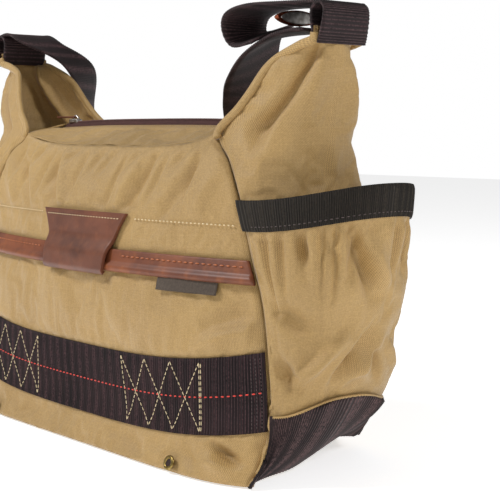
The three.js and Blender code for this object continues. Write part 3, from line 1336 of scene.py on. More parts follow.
    def plate(self, name: str, node: str, slot: Slot, finish: Any) -> None:
        """Build a flat plate with rounded corners, drawn in at its back corners.

        Args:
            name: the piece's name.
            node: the CAD node that it replaces, whose box it fills.
            slot: its material slot.
            finish: its finish.
        """
        low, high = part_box(node)
        piece = added(bpy.ops.mesh.primitive_grid_add, x_subdivisions=60, y_subdivisions=24, size=1)
        piece.name = name
        size = [high[i] - low[i] for i in range(3)]
        power = 5.0
        for vertex in piece.data.vertices:
            a, b = vertex.co.x * 2, vertex.co.y * 2
            reach = max(abs(a), abs(b))
            norm = (abs(a) ** power + abs(b) ** power) ** (1 / power)
            squeeze = reach / norm if norm else 1.0
            y = b * squeeze * size[1] / 2
            drawn = 1 - 0.2 * smooth(-25, 50, y / MM)
            vertex.co = (a * squeeze * drawn * size[0] / 2, y, high[2])
        layer = piece.data.uv_layers[0]
        for loop in piece.data.loops:
            place = piece.data.vertices[loop.vertex_index].co
            layer.data[loop.index].uv = (place.x, place.y)
        thicken(piece, size[2] / MM, bevel=0.8)
        self.keep(piece, finish, Body.BAG, slot, node)

    def base(self) -> None:
        """Build the webbing-clad base panel and the stiff board above it."""
        self.plate("base_panel_cloth", "base_panel", Slot.WEBBING, WEBBING)
        self.plate("base_board_fibre", "base_board", Slot.BOARD, BOARD)

    def gusset(self, side: Side) -> None:
        """Build the fabric bridge between the zip's end and an ear.

        Args:
            side: the end of the bag.
        """
        def surface(u: float, v: float) -> Place:
            """A fan from the zip's end out to the inside of the ear.

            Args:
                u: the share of the way along.
                v: the share of the way up.

            Returns:
                The place in mm.
            """
            turn = (u - 0.5) * math.pi
            reach = 118 + 46 * v * max(0.0, math.cos(turn)) ** 0.8
            y = 38 * math.copysign(abs(math.sin(turn)) ** 0.8, turn)
            crown = 8 * (1 - abs(y) / 38) * (1 - 0.6 * v)
            return (reach, y, 220.5 + crown - 3 * v)

        points = lay(mirrored(surface, side), 40, 20,
                     lambda u, v: 0.8 * crumple(40 * u, 30 * v, 0, 9, 3))
        piece = grid_piece(f"top_gusset_{side.word}_cloth", points)
        thicken(piece, self.cloth)
        self.keep(piece, KHAKI, Body.BAG, Slot.KHAKI, f"top_gusset_{side.word}")

    def build(self) -> list[bpy.types.Object]:
        """Build every piece of the shell and return them.

        Returns:
            The pieces.
        """
        self.main_panel("front_panel", back=False)
        self.main_panel("back_panel", back=True)
        for side in Side:
            self.end_panel(side)
            self.gusset(side)
        self.base()
        return self.made


# ---------------------------------------------------------------- end pockets and toe cups


@dataclass
class EndPockets(Assembly):
    """The gathered end pockets, their elastic mouths and the webbing toe cups."""

    cloth: float = 1.1
    band_height: float = 18.5
    rib_pitch: float = 1.8

    @staticmethod
    def gathers(u: float, share: float) -> float:
        """The folds that the elastic draws into the wall, and the wall's own soft folds, in mm.

        Args:
            u: from 0 at the front seam to 1 at the back seam.
            share: 0 at its foot and 1 at its upper edge.

        Returns:
            The lift in mm.
        """
        along = POCKET_ALONG * u
        up = POCKET_UP * share
        fall = max(0.0, (150 - up) / POCKET_UP)
        phase = along / 15 * 2 * math.pi + 2.6 * math.sin(along / 31) + 1.6 * math.sin(along / 12)
        top = smooth(0.30 + 0.12 * math.sin(along / 9), 0.0, fall)
        fine = (2.2 - 4.6 * (0.5 + 0.5 * math.sin(phase)) ** 2) * top * smooth(0, 0.05, fall + 0.03)
        folds = 1.5 * sum(crease.lift(along, up) for crease in EndPockets.creases())
        swell = 1.6 * crumple(along, up, 0, 38, 7) + 0.6 * crumple(along, up, 0, 15, 3)
        held = smooth(0, 0.05, min(u, 1 - u)) * smooth(0, 0.06, share)
        under_band = smooth(158, 148, up)
        under_toe = mix(0.12, 1.0, smooth(44, 62, up))
        valley = -1.6 * (1 - smooth(0, 0.025, min(u, 1 - u)))
        return (fine + folds + swell) * held * under_band * under_toe + valley

    @staticmethod
    def creases() -> list[Crease]:
        """The wall's larger folds, over (distance along, height) in mm.

        Returns:
            The creases.
        """
        front = [
            Crease((92, 148), (120, 108), 7.0, 7.0),
            Crease((104, 146), (132, 112), 5.5, -3.2),
            Crease((152, 150), (158, 122), 5.0, 5.0),
            Crease((42, 150), (50, 132), 4.5, 3.4),
            Crease((66, 150), (70, 134), 4.5, 3.2),
            Crease((10, 108), (64, 86), 8.0, 4.6),
            Crease((8, 74), (52, 50), 8.0, 5.2),
            Crease((46, 56), (98, 82), 6.0, -4.6),
            Crease((96, 52), (126, 84), 5.0, 4.4),
            Crease((110, 50), (138, 80), 5.0, -3.6),
        ]
        back = [Crease((POCKET_ALONG - c.start[0], c.start[1] - 6),
                       (POCKET_ALONG - c.end[0], c.end[1] - 6),
                       c.width, 0.7 * c.depth) for c in front[2:]]
        return front + back

    def wall(self, side: Side) -> None:
        """Build a pocket's wall, gathered under its mouth.

        Args:
            side: the end of the bag.
        """
        smooth_points = lay(SHAPE.pocket, 150, 100)
        points = lay(SHAPE.pocket, 150, 100, self.gathers)
        if side is Side.LEFT:
            points, smooth_points = flipped_grids(0, points, smooth_points)
        piece = grid_piece(f"end_pocket_{side.word}_cloth", points)
        pins = edge_pins(points)
        pins[-13:, :] = 1
        settle_cloth(piece, pins, 0.02, 0.6, 4.0)
        thicken(piece, self.cloth)
        self.keep(piece, KHAKI, Body.BAG, Slot.KHAKI, f"end_pocket_{side.word}")

    def band(self, side: Side) -> None:
        """Build the ribbed elastic band on a pocket's mouth and its stitching.

        Args:
            side: the end of the bag.
        """
        low = 1 - self.band_height / 178
        surface: Surface = lambda u, v: SHAPE.pocket(u, mix(low, 1.012, v))
        count = rib_count(surface, self.rib_pitch)

        def ribs(u: float, v: float) -> float:
            """Upright ribs, and edges that roll in."""
            edge = 0.7 * (abs(2 * v - 1) ** 6)
            return 1.7 + 0.3 * math.cos(2 * math.pi * count * u) - edge

        points = lay(mirrored(surface, side), round(count) * 6, 10, ribs)
        piece = grid_piece(f"pocket_band_{side.word}_elastic", points)
        thicken(piece, 2.6)
        self.keep(piece, ELASTIC, Body.BAG, Slot.ELASTIC, f"pocket_band_{side.word}")
        path, outs = along_surface(mirrored(surface, side), [(0.02, 0.16), (0.98, 0.16)], 1.8, 160)
        row = stitch_row(f"band_stitches_{side.word}", path, outs, 3.4, 0.6, 0.3)
        self.keep(row, DARK_THREAD, Body.BAG, Slot.ELASTIC)

    def toe(self, side: Side) -> None:
        """Build the ribbed toe cup and the khaki piping along its free edge.

        Args:
            side: the end of the bag.
        """
        pitch = 2.3
        count = rib_count(SHAPE.toe, pitch)

        def ribs(u: float, v: float) -> float:
            """Upright ribs; the cup stands off the pocket in two places.

            Args:
                u: the share of the way along.
                v: the share of the way up.

            Returns:
                The lift in mm.
            """
            loose = 3.4 * math.exp(-((u - 0.70) / 0.07) ** 2) * smooth(0.35, 1, v)
            loose += 1.6 * math.exp(-((u - 0.36) / 0.05) ** 2) * smooth(0.5, 1, v)
            rib = 0.28 * math.cos(2 * math.pi * count * u)
            return 1.9 * smooth(0, 0.06, min(u, 1 - u)) + rib + loose

        points = lay(SHAPE.toe, round(count) * 6, 20, ribs)
        if side is Side.LEFT:
            [points] = flipped_grids(0, points)
        piece = grid_piece(f"toe_cup_{side.word}_webbing", points)
        thicken(piece, 1.5)
        self.keep(piece, TOE_WEBBING, Body.BAG, Slot.WEBBING, f"toe_cup_{side.word}")
        path, outs = along_surface(mirrored(SHAPE.toe, side), [(0.04, 1.0), (0.96, 1.0)], 1.0, 120)
        piping = tube(f"toe_piping_{side.word}", path, outs, 0.9, 1.0, 8)
        self.keep(piping, KHAKI, Body.BAG, Slot.KHAKI)

    def build(self) -> list[bpy.types.Object]:
        """Build both ends and return the pieces.

        Returns:
            The pieces.
        """
        for side in Side:
            self.wall(side)
            self.band(side)
            self.toe(side)
        return self.made


# ---------------------------------------------------------------- front trim


@dataclass
class FrontTrim(Assembly):
    """The webbing band, leather strip, tab, label, eyelets and all their stitching."""

    band_width: float = 50.0
    rib_pitch: float = 2.3
    strip_low: float = 127.0
    strip_high: float = 142.0

    @staticmethod
    def band_low(s: float) -> float:
        """The height of the webbing band's lower edge, which sags in the middle, in mm."""
        return 22 + 14 * abs(s) ** 3

    def band_surface(self, u: float, v: float) -> Place:
        """A point under the webbing band.

        Args:
            u: the share of the way along.
            v: the share of the way up.

        Returns:
            The place in mm.
        """
        s = mix(-0.992, 0.992, u)
        low = self.band_low(s)
        return SHAPE.front(s, mix(low, low + self.band_width, v))

    def webbing(self) -> None:
        """Build the ribbed band across the front."""
        count = rib_count(self.band_surface, self.rib_pitch)

        def ribs(u: float, v: float) -> float:
            """Upright ribs with rolled edges."""
            edge = 0.5 * abs(2 * v - 1) ** 8
            return 1.4 + 0.4 * math.cos(2 * math.pi * count * u) - edge

        points = lay(self.band_surface, round(count) * 6, 14, ribs)
        piece = grid_piece("front_webbing_band", points)
        thicken(piece, 1.6)
        self.keep(piece, WEBBING, Body.BAG, Slot.WEBBING, "front_webbing")

    def sew(self, name: str, surface: Surface, ends: Sequence[tuple[float, float]], lift: float,
            pitch: float, share: float, radius: float, finish: Thread) -> None:
        """Sew one row of stitches over a surface.

        Args:
            name: the row's name.
            surface: what it is sewn to.
            ends: the row's corners over the surface.
            lift: how far it stands off, in mm.
            pitch: from one stitch to the next in mm.
            share: how much of the pitch shows thread.
            radius: half the thread's thickness in mm.
            finish: the thread.
        """
        path, outs = along_surface(surface, ends, lift)
        row = stitch_row(name, path, outs, pitch, share, radius)
        self.keep(row, finish, Body.BAG, Slot.WEBBING)

    def band_stitching(self) -> None:
        """Sew the red centre row, the cream crossed box and the rows at the band's ends."""
        self.sew("red_centre_stitches", self.band_surface, [(0.004, 0.5), (0.996, 0.5)], 1.62,
                 4.5, 0.6, 0.52, RED_THREAD)
        reach = 353.0
        for side in Side:
            at: Callable[[float], float] = lambda x: 0.5 + side.value * x / reach
            left, right = 53.5, 131.0
            tops = [mix(left, right, i / 3) for i in range(4)]
            feet = [mix(left + 4, right, i / 3) for i in range(4)]
            runs = [[(at(tops[0]), 0.96), (at(feet[0]), 0.05)],
                    [(at(tops[3]), 0.94), (at(feet[3]), 0.04)],
                    [(at(tops[3] + 1.3), 0.94), (at(feet[3] + 1.3), 0.04)]]
            for i in range(3):
                runs.append([(at(tops[i]), 0.96), (at(feet[i + 1]), 0.04)])
                runs.append([(at(feet[i]), 0.05), (at(tops[i + 1]), 0.95)])
            for number, run in enumerate(runs):
                self.sew(f"crossed_box_{side.word}_{number + 1}", self.band_surface, run, 1.65,
                         3.6, 0.86, 0.36, CREAM_THREAD)
            for number, x in enumerate((168, 171, 174)):
                self.sew(f"band_end_stitches_{side.word}_{number + 1}", self.band_surface,
                         [(at(x), 0.05), (at(x), 0.95)], 1.6, 2.4, 0.6, 0.3, DARK_THREAD)

    def strip(self) -> None:
        """Build the leather strip with its rolled lower edge, and its coarse stitching."""
        rings = []
        steps = 150
        for i in range(steps + 1):
            s = mix(-0.997, 0.997, i / steps)
            rings.append(self.strip_ring(s))
        piece = swept_piece("leather_strip_rolled", rings)
        self.keep(piece, STRIP_LEATHER, Body.BAG, Slot.LEATHER, "leather_strip")
        surface: Surface = lambda u, v: SHAPE.front(mix(-0.98, 0.98, u), mix(127, 142, v))
        for side in Side:
            ends = [(0.5 + side.value * 0.16, 0.72), (0.5 + side.value * 0.497, 0.72)]
            self.sew(f"strip_stitches_{side.word}", surface, ends, 2.75, 5.0, 0.74, 0.55,
                     TAN_THREAD)

    def strip_ring(self, s: float) -> list[Place]:
        """One section of the strip: a flat flange above a rolled bead.

        Args:
            s: from -1 at the left seam to 1 at the right one.

        Returns:
            The section's places in mm.
        """
        low, high = Vector(SHAPE.front(s, self.strip_low)), Vector(SHAPE.front(s, self.strip_high))
        ahead = Vector(SHAPE.front(s + 0.004, self.strip_low))
        up = (high - low).normalized()
        out = (ahead - low).cross(up).normalized()
        height = (high - low).length
        profile = [(height, 0.5), (height, 2.1), (height - 1, 2.5), (7.4, 2.5), (6.2, 2.9),
                   (5.0, 4.0), (3.4, 4.9), (1.6, 4.9), (0.2, 4.0), (-0.4, 2.6), (0.2, 1.0),
                   (1.4, 0.5)]
        return ring_around(low, up, out, profile)

    def tab(self) -> None:
        """Build the leather tab that wraps over the strip, with painted edges and a stitch row."""
        low, high = 123.5, 166.5

        def surface(u: float, v: float) -> Place:
            """The tab's outline: wide at the top, with hollow sides."""
            half = mix(37, 51, v ** 2.4)
            return SHAPE.front_at_x(mix(-half, half, u), mix(low, high, v))

        def lift(u: float, v: float) -> float:
            """Over the strip and under its bead, with a soft dish between.

            Args:
                u: the share of the way along.
                v: the share of the way up.

            Returns:
                The lift in mm.
            """
            z = mix(low, high, v)
            over = 4.6 * smooth(151, 136, z) * smooth(120.5, 126.5, z)
            return 3.2 + over + 0.3 * crumple(60 * u, 40 * v, 0, 14, 6)

        points = lay(surface, 60, 36, lift)
        piece = grid_piece("leather_tab_hide", points)
        thicken(piece, 3.0, rim_slot=1, bevel=0.5)
        dressed(piece, LEATHER, EDGE_PAINT_AND_HOLE_SHADE)
        place_piece(piece, Body.BAG, Slot.LEATHER, "leather_tab")
        self.made.append(piece)
        self.sew("tab_stitches", surface, [(0.03, 0.91), (0.97, 0.91)], 3.4, 3.4, 0.6, 0.42,
                 CREAM_THREAD)

    def label(self) -> None:
        """Build the plain woven tag that hangs below the strip."""
        surface: Surface = lambda u, v: SHAPE.front_at_x(mix(90, 140, u), mix(118.5, 128.5, v))
        points = lay(surface, 40, 8, lambda u, v: 2.2 + 1.2 * (1 - v) + 0.5 * math.sin(5 * u))
        piece = grid_piece("woven_label_tag", points)
        thicken(piece, 0.7)
        self.keep(piece, LABEL, Body.BAG, Slot.LABEL, "woven_label")

    def eyelet(self, side: Side) -> None:
        """Build a pressed brass eyelet; the dark disc in its hole is painted shade.

        Args:
            side: the end of the bag.
        """
        low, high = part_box(f"eyelet_{side.word}")
        spot = Vector(SHAPE.front_at_x(EYELET_X * side.value, EYELET_HEIGHT))
        centre = (spot + Vector((0, -2.8, 0))) * MM
        radius = (high[0] - low[0]) / 2
        bpy.ops.object.select_all(action="DESELECT")
        bpy.ops.mesh.primitive_torus_add(major_radius=radius * 0.74, minor_radius=radius * 0.27,
                                         major_segments=40, minor_segments=12)
        ring = bpy.context.active_object
        ring.name = f"eyelet_{side.word}_ring"
        turn = Matrix.Rotation(math.radians(90 - 22), 4, "X")
        flat = Matrix.Diagonal((1, 1, 0.75, 1))
        ring.data.transform(Matrix.Translation(centre) @ turn @ flat)
        ring.data.shade_smooth()
        dressed(ring, BRASS)
        place_piece(ring, Body.BAG, Slot.BRASS, f"eyelet_{side.word}")
        # A dark disc fills the eyelet's hole: painted shade for the shadowed inside of the bag
        # behind it.
        bpy.ops.mesh.primitive_cylinder_add(vertices=32, radius=radius * 0.6, depth=0.6 * MM)
        hole_shade_disc = bpy.context.active_object
        hole_shade_disc.name = f"eyelet_{side.word}_hole"
        hole_shade_disc.data.transform(Matrix.Translation(centre) @ turn)
        dressed(hole_shade_disc, EDGE_PAINT_AND_HOLE_SHADE)
        place_piece(hole_shade_disc, Body.BAG, Slot.BRASS)
        self.made += [ring, hole_shade_disc]

    def panel_stitching(self) -> None:
        """Sew the cream row on both sides of the tab."""
        for side in Side:
            at: Callable[[float], float] = lambda x: 0.5 + side.value * x / 2
            surface: Surface = lambda u, v: SHAPE.front(2 * u - 1, v)
            self.sew(f"panel_stitches_{side.word}", surface,
                     [(at(0.37), PANEL_ROW_HEIGHT), (at(0.96), PANEL_ROW_HEIGHT)],
                     0.6, 3.6, 0.6, 0.5, CREAM_THREAD)

    def build(self) -> list[bpy.types.Object]:
        """Build all the front trim and return the pieces.

        Returns:
            The pieces.
        """
        self.webbing()
        self.band_stitching()
        self.strip()
        self.tab()
        self.label()
        self.panel_stitching()
        for side in Side:
            self.eyelet(side)
        return self.made


# ---------------------------------------------------------------- zip top


@dataclass
class ZipTop(Assembly):
    """The two facings, the zip between them and its slider."""

    half_length: float = 117.0
    hinge_y: float = 40.0
    tape: float = 5.2
    tooth_pitch: float = 1.6

    def facing_surface(self, u: float, v: float) -> Place:
        """A point on the front facing, from the top seam up to the zip.

        Args:
            u: the share of the way along.
            v: the share of the way up.

        Returns:
            The place in mm.
        """
        s = 2 * u - 1
        x = s * self.half_length
        y = -mix(self.hinge_y, self.tape - 0.4, v)
        z = mix(SHAPE.top_at(s) + 0.2, 228.0 - 2.0 * abs(s) ** 3, v)
        return (x, y, z + 0.6 * math.sin(math.pi * v))

    @staticmethod
    def facing_lift(u: float, v: float) -> float:
        """Fine creases that fan out from the ears along the facing, in mm.

        Args:
            u: the share of the way along.
            v: the share of the way up.

        Returns:
            The lift in mm.
        """
        fan = 0.0
        for i in range(5):
            fan += Crease((118 - 4 * i, 6 * i), (40 - 16 * i, 10 + 5 * i), 2.6, 0.9).lift(
                abs(2 * u - 1) * 117, v * 38)
        return (fan + 0.7 * crumple(120 * u, 40 * v, 0, 16, 12)) * smooth(1.0, 0.82, v)

    def facing(self, word: str, body: Body) -> None:
        """Build one facing, which bends where it is sewn to the bag.

        Args:
            word: front or back.
            body: the body that its stitch row rides on.
        """
        points = lay(self.facing_surface, 120, 28, self.facing_lift)
        if word == "back":
            [points] = flipped_grids(1, points)
        piece = grid_piece(f"top_facing_{word}_cloth", points)
        pins = edge_pins(points)
        pins[-6:, :] = 1
        settle_cloth(piece, pins, 0.015, 0.2, 1.6, 12)
        thicken(piece, 1.3)
        dressed(piece, KHAKI)
        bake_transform(piece)
        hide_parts(f"top_facing_{word}")
        self.made.append(piece)
        sewn = backwards(self.facing_surface) if word == "back" else self.facing_surface
        path, outs = along_surface(sewn, [(0.01, 0.9), (0.99, 0.9)], 0.4, 120)
        row = stitch_row(f"facing_stitches_{word}", path, outs, 3.0, 0.6, 0.26)
        self.keep(row, KHAKI_THREAD, body, Slot.KHAKI)

    def zip_half(self, word: str, body: Body) -> None:
        """Build one tape with its row of coil teeth.

        Args:
            word: front or back.
            body: the body that it rides on.
        """
        sign = -1 if word == "front" else 1

        def surface(u: float, v: float) -> Place:
            """A tape that rises from under the facing's edge to the coil.

            Args:
                u: the share of the way along.
                v: the share of the way up.

            Returns:
                The place in mm.
            """
            s = 2 * u - 1
            rise = 4.4 * math.sin(0.5 * math.pi * v)
            return (s * self.half_length, -mix(self.tape + 0.6, 1.2, v),
                    227.2 + rise - 2.0 * abs(s) ** 3)

        shown = surface if sign < 0 else backwards(surface)
        piece = grid_piece(f"zip_tape_{word}", lay(shown, 60, 4))
        thicken(piece, 0.7)
        dressed(piece, ZIP_TAPE)
        place_piece(piece, body, Slot.ZIP, f"zip_half_{word}")
        tooth = added(bpy.ops.mesh.primitive_uv_sphere_add, segments=8, ring_count=5, radius=1)
        places = []
        count = int(2 * (self.half_length - 5) / self.tooth_pitch)
        for i in range(count):
            x = -self.half_length + 5 + (i + (0.25 if sign < 0 else 0.75)) * self.tooth_pitch
            z = 231.6 - 2.0 * abs(x / self.half_length) ** 3
            spot = Matrix.Translation(Vector((x, sign * 1.25, z)) * MM)
            places.append(spot @ Matrix.Diagonal((0.62 * MM, 1.55 * MM, 0.95 * MM, 1)))
        teeth = joined_copies(f"zip_coil_{word}", tooth, places)
        dressed(teeth, ZIP_COIL)
        place_piece(teeth, body, Slot.ZIP)
        self.made += [piece, teeth]

    def slider(self) -> None:
        """Build the slider's body with its bridge, and the leather pull."""
        low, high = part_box("zip_slider")
        centre = [(low[i] + high[i]) / 2 for i in range(3)]
        body = added(bpy.ops.mesh.primitive_cube_add, size=1)
        body.name = "zip_slider_body"
        size = [high[i] - low[i] for i in range(3)]
        body.data.transform(Matrix.Translation(centre) @ Matrix.Diagonal((*size, 1)))
        select_only(body)
        bpy.ops.object.mode_set(mode="EDIT")
        bpy.ops.mesh.select_all(action="SELECT")
        bpy.ops.mesh.subdivide(number_cuts=3)
        bpy.ops.object.mode_set(mode="OBJECT")
        for vertex in body.data.vertices:
            share = (vertex.co.x - low[0]) / size[0]
            vertex.co.y *= 0.62 + 0.38 * math.sin(math.pi * min(1, 0.25 + share)) ** 2
            vertex.co.z -= 0.6 * MM * (2 * share - 1) ** 2
        soft = body.modifiers.new("soft", "SUBSURF")
        soft.levels = soft.render_levels = 2
        apply_modifiers(body)
        body.data.shade_smooth()
        dressed(body, SATIN_METAL_AND_BAR_REFLECTION)
        place_piece(body, Body.SLIDER, Slot.METAL, "zip_slider")
        bridge_path = [Vector((-112 + 8 * t, 0, 232.9 + 2.6 * math.sin(math.pi * t)))
                       for t in (i / 16 for i in range(17))]
        bridge = tube("zip_slider_bridge", bridge_path, [Vector((0, 1, 0))] * 17, 0.9, 1.0, 8)
        dressed(bridge, SATIN_METAL_AND_BAR_REFLECTION)
        place_piece(bridge, Body.SLIDER, Slot.METAL)
        self.made += [body, bridge]
        self.pull()

    def pull(self) -> None:
        """Build the leather pull with a rounded end and painted edges."""
        low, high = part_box("zip_pull")
        middle = (low[2] + high[2]) / 2 / MM

        def surface(u: float, v: float) -> Place:
            """The pull's outline, rounded at its free end.

            Args:
                u: the share of the way along.
                v: the share of the way up.

            Returns:
                The place in mm.
            """
            x = mix(low[0] / MM, high[0] / MM, u)
            free = (x - low[0] / MM) / 3.5
            half = 3.4 * math.sqrt(max(0.0, 1 - max(0.0, 1 - free) ** 2)) + 0.02
            half *= mix(1.0, 0.74, u)
            return (x, mix(-half, half, v), middle)

        piece = grid_piece("zip_pull_leather", lay(surface, 40, 8))
        thicken(piece, 1.4, offset=0.0, rim_slot=1)
        dressed(piece, LEATHER, EDGE_PAINT_AND_HOLE_SHADE)
        place_piece(piece, Body.PULL, Slot.LEATHER, "zip_pull")
        self.made.append(piece)

    def build(self) -> list[bpy.types.Object]:
        """Build the zip top and return the pieces.

        Returns:
            The pieces.
        """
        for word, body in (("front", Body.FRONT_FLAP), ("back", Body.BACK_FLAP)):
            self.facing(word, body)
            self.zip_half(word, body)
        self.slider()
        return self.made


# ---------------------------------------------------------------- sling


@dataclass
class Sling(Assembly):
    """The ear loops, the sling's webbing, its doubled tail and the metal bar."""

    width: float = 40.0
    thickness: float = 1.7
    rib_pitch: float = 2.1
    route: tuple[tuple[Place, Place], ...] = (
        ((176, 0, 287), (0, 1, 0)), ((148, 0, 286), (0, 1, 0.1)),
        ((116, 4, 282), (0.1, 1, 0.5)), ((86, 20, 266), (0.35, 0.9, 0.35)),
        ((58, 42, 246), (0.6, 0.8, 0)), ((34, 62, 222), (0.85, 0.45, -0.2)),
        ((14, 76, 186), (1, 0.1, -0.1)), ((2, 84, 130), (1, 0, 0)),
        ((-2, 86, 70), (1, 0, 0)), ((-4, 88, 26), (1, 0.05, 0)),
        ((-14, 100, 6), (0.95, 0.3, 0.05)), ((-38, 122, 2.4), (0.6, 0.8, 0)),
        ((-72, 128, 2.4), (0, 1, 0)), ((-108, 118, 4), (-0.7, 0.7, 0)),
        ((-130, 94, 20), (-1, 0.2, 0)), ((-138, 85, 70), (-1, 0, 0)),
        ((-146, 84, 115), (-1, 0, 0)), ((-158, 82, 160), (-1, 0, 0)),
        ((-177, 72, 205), (-0.95, 0.3, 0)), ((-178, 60, 244), (-0.75, 0.7, 0)),
        ((-158, 36, 278), (-0.3, 1, 0)), ((-164, 4, 296), (0, 1, 0)),
        ((-178, 0, 303.2), (0, 1, 0)), ((-192, 0, 302.4), (0, 1, 0)),
    )
    tail: tuple[tuple[Place, Place], ...] = (
        ((193, 0, 302.4), (0, 1, 0)), ((160, 0, 304), (0, 1, 0)),
        ((124, 0, 305), (0, 1, 0)), ((104, 0, 301), (0, 1, 0)), ((98, 2, 292), (0, 1, 0)),
        ((103, 5, 286.5), (0, 1, 0.3)), ((123, 5, 288.5), (0, 1, 0.35)),
    )

    @staticmethod
    def spline(values: Sequence[Place], t: float) -> Vector:
        """A smooth curve through a list of points, at a share t of the list.

        Args:
            values: the points.
            t: the share of the list.

        Returns:
            The point there.
        """
        count = len(values) - 1
        place = min(count - 1e-9, max(0.0, t * count))
        i = int(place)
        f = place - i
        p1, p2 = Vector(values[i]), Vector(values[i + 1])
        p0 = Vector(values[i - 1]) if i else 2 * p1 - p2
        p3 = Vector(values[i + 2]) if i + 2 <= count else 2 * p2 - p1
        return 0.5 * (2 * p1 + (p2 - p0) * f + (2 * p0 - 5 * p1 + 4 * p2 - p3) * f * f
                      + (3 * p1 - p0 - 3 * p2 + p3) * f ** 3)

    def ribbon(self, name: str, stations: Sequence[tuple[Place, Place]],
               node: str) -> bpy.types.Object:
        """Build webbing along listed stations.

        Args:
            name: the piece's name.
            stations: centres and width directions.
            node: the CAD node that it replaces.

        Returns:
            The new object.
        """
        centres = [station[0] for station in stations]
        widths = [station[1] for station in stations]
        fine = [self.spline(centres, i / 800) for i in range(801)]
        length = sum((b - a).length for a, b in zip(fine, fine[1:]))
        marks = np.concatenate([[0], np.cumsum([(b - a).length for a, b in zip(fine, fine[1:])])])
        columns = int(length / self.rib_pitch) * 4

        def surface(u: float, v: float) -> Place:
            """The ribbon's face at a share of its length and width.

            Args:
                u: the share of the way along.
                v: the share of the way up.

            Returns:
                The place in mm.
            """
            t = float(np.interp(u * length, marks, np.linspace(0, 1, 801)))
            across = self.spline(widths, t).normalized()
            edge = (v - 0.5) * self.width
            return tuple(self.spline(centres, t) + across * edge)

        count = length / self.rib_pitch

        def ribs(u: float, v: float) -> float:
            """Cross ribs and rolled edges."""
            return 0.85 + 0.2 * math.cos(2 * math.pi * count * u) - 0.5 * abs(2 * v - 1) ** 8

        points = lay(surface, columns, 8, ribs)
        piece = grid_piece(name, points)
        thicken(piece, self.thickness)
        self.keep(piece, STRAP_WEBBING, Body.BAG, Slot.WEBBING, node)
        LOG.info("%s is %.0f mm long", name, length)
        return piece

    def length_of(self, stations: Sequence[tuple[Place, Place]]) -> float:
        """The length of a ribbon's centreline in metres."""
        fine = [self.spline([s[0] for s in stations], i / 400) * MM for i in range(401)]
        return sum((b - a).length for a, b in zip(fine, fine[1:]))

    def declare(self, piece: bpy.types.Object, stations: Sequence[tuple[Place, Place]]) -> None:
        """Sample a ribbon's centreline and its length, and keep neither.

        Args:
            piece: the piece; not used.
            stations: centres and width directions.
        """
        fine = [self.spline([s[0] for s in stations], i / 300) * MM for i in range(301)]
        length = self.length_of(stations)
        tuple(fine[0])
        [tuple(p) for p in fine]

    def ear_loop(self, side: Side) -> None:
        """Build the webbing folded over an ear's top.

        Args:
            side: the end of the bag.
        """
        path = [(193.6, 277.5), (195.6, 284), (197.6, 294), (197.2, 300), (193.6, 303.4),
                (188.6, 303.2), (184.6, 299.6), (184.2, 292), (186.6, 279)]
        curve = [self.spline([(x, 0, z) for x, z in path], i / 160) for i in range(161)]
        length = sum((b - a).length for a, b in zip(curve, curve[1:]))
        count = length / self.rib_pitch

        def surface(u: float, v: float) -> Place:
            """Over the ear from its outer face to its inner one.

            Args:
                u: the share of the way along.
                v: the share of the way up.

            Returns:
                The place in mm.
            """
            spot = curve[min(160, round(v * 160))]
            widen = 1 + 0.05 * smooth(0.35, 0.0, v)
            return (spot.x, (u - 0.5) * self.width * widen, spot.z)

        def ribs(u: float, v: float) -> float:
            """Ribs along the ear's width."""
            return 0.25 * math.cos(2 * math.pi * count * v) - 0.4 * abs(2 * u - 1) ** 8

        points = lay(mirrored(surface, side), 20, 160, ribs)
        piece = grid_piece(f"ear_loop_{side.word}_webbing", np.swapaxes(points, 0, 1)[:, ::-1])
        thicken(piece, 1.6)
        self.keep(piece, STRAP_WEBBING, Body.BAG, Slot.WEBBING, f"ear_loop_{side.word}")

    def bar(self) -> None:
        """Build the oval metal bar with its copper rim between the sling and its tail; the
        grey-white satin metal face inside the rim is a painted reflection.
        """
        low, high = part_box("strap_bar")
        centre = Vector([(low[i] + high[i]) / 2 for i in range(3)])
        half = Vector([(high[i] - low[i]) / 2 for i in range(3)])
        # The second piece is a painted reflection: grey-white satin metal inset in the copper bar,
        # where the bar's shine of the white surroundings shows.
        for name, finish, grow, deep in (("strap_bar_rim", COPPER_EDGE, 1.0, 1.0),
                                         ("strap_bar_face", SATIN_METAL_AND_BAR_REFLECTION, 0.86, 1.25)):
            piece = added(bpy.ops.mesh.primitive_cylinder_add, vertices=64, radius=1, depth=2)
            piece.name = name
            select_only(piece)
            turn = Matrix.Rotation(math.radians(90), 4, "Y")
            piece.data.transform(turn)
            for vertex in piece.data.vertices:
                bow = 1 - 0.22 * abs(vertex.co.y) ** 2.5
                vertex.co = (vertex.co.x * half.x * deep + centre.x,
                             vertex.co.y * half.y * grow + centre.y,
                             vertex.co.z * half.z * grow * bow + centre.z)
            edge = piece.modifiers.new("edge", "BEVEL")
            edge.width = 0.7 * MM
            edge.segments = 3
            edge.limit_method = "ANGLE"
            apply_modifiers(piece)
            piece.data.shade_smooth()
            dressed(piece, finish)
            nodes = ("strap_bar",) if name == "strap_bar_rim" else ()
            place_piece(piece, Body.ADJUSTER, Slot.METAL, *nodes)
            self.made.append(piece)

    def build(self) -> list[bpy.types.Object]:
        """Build the sling and return the pieces.

        Returns:
            The pieces.
        """
        strap = self.ribbon("shoulder_strap_webbing", self.route, "shoulder_strap")
        self.declare(strap, self.route)
        tail = self.ribbon("strap_tail_webbing", self.tail, "strap_tail")
        length = self.length_of(self.tail)
        for side in Side:
            self.ear_loop(side)
        self.bar()
        return self.made


# ---------------------------------------------------------------- insert


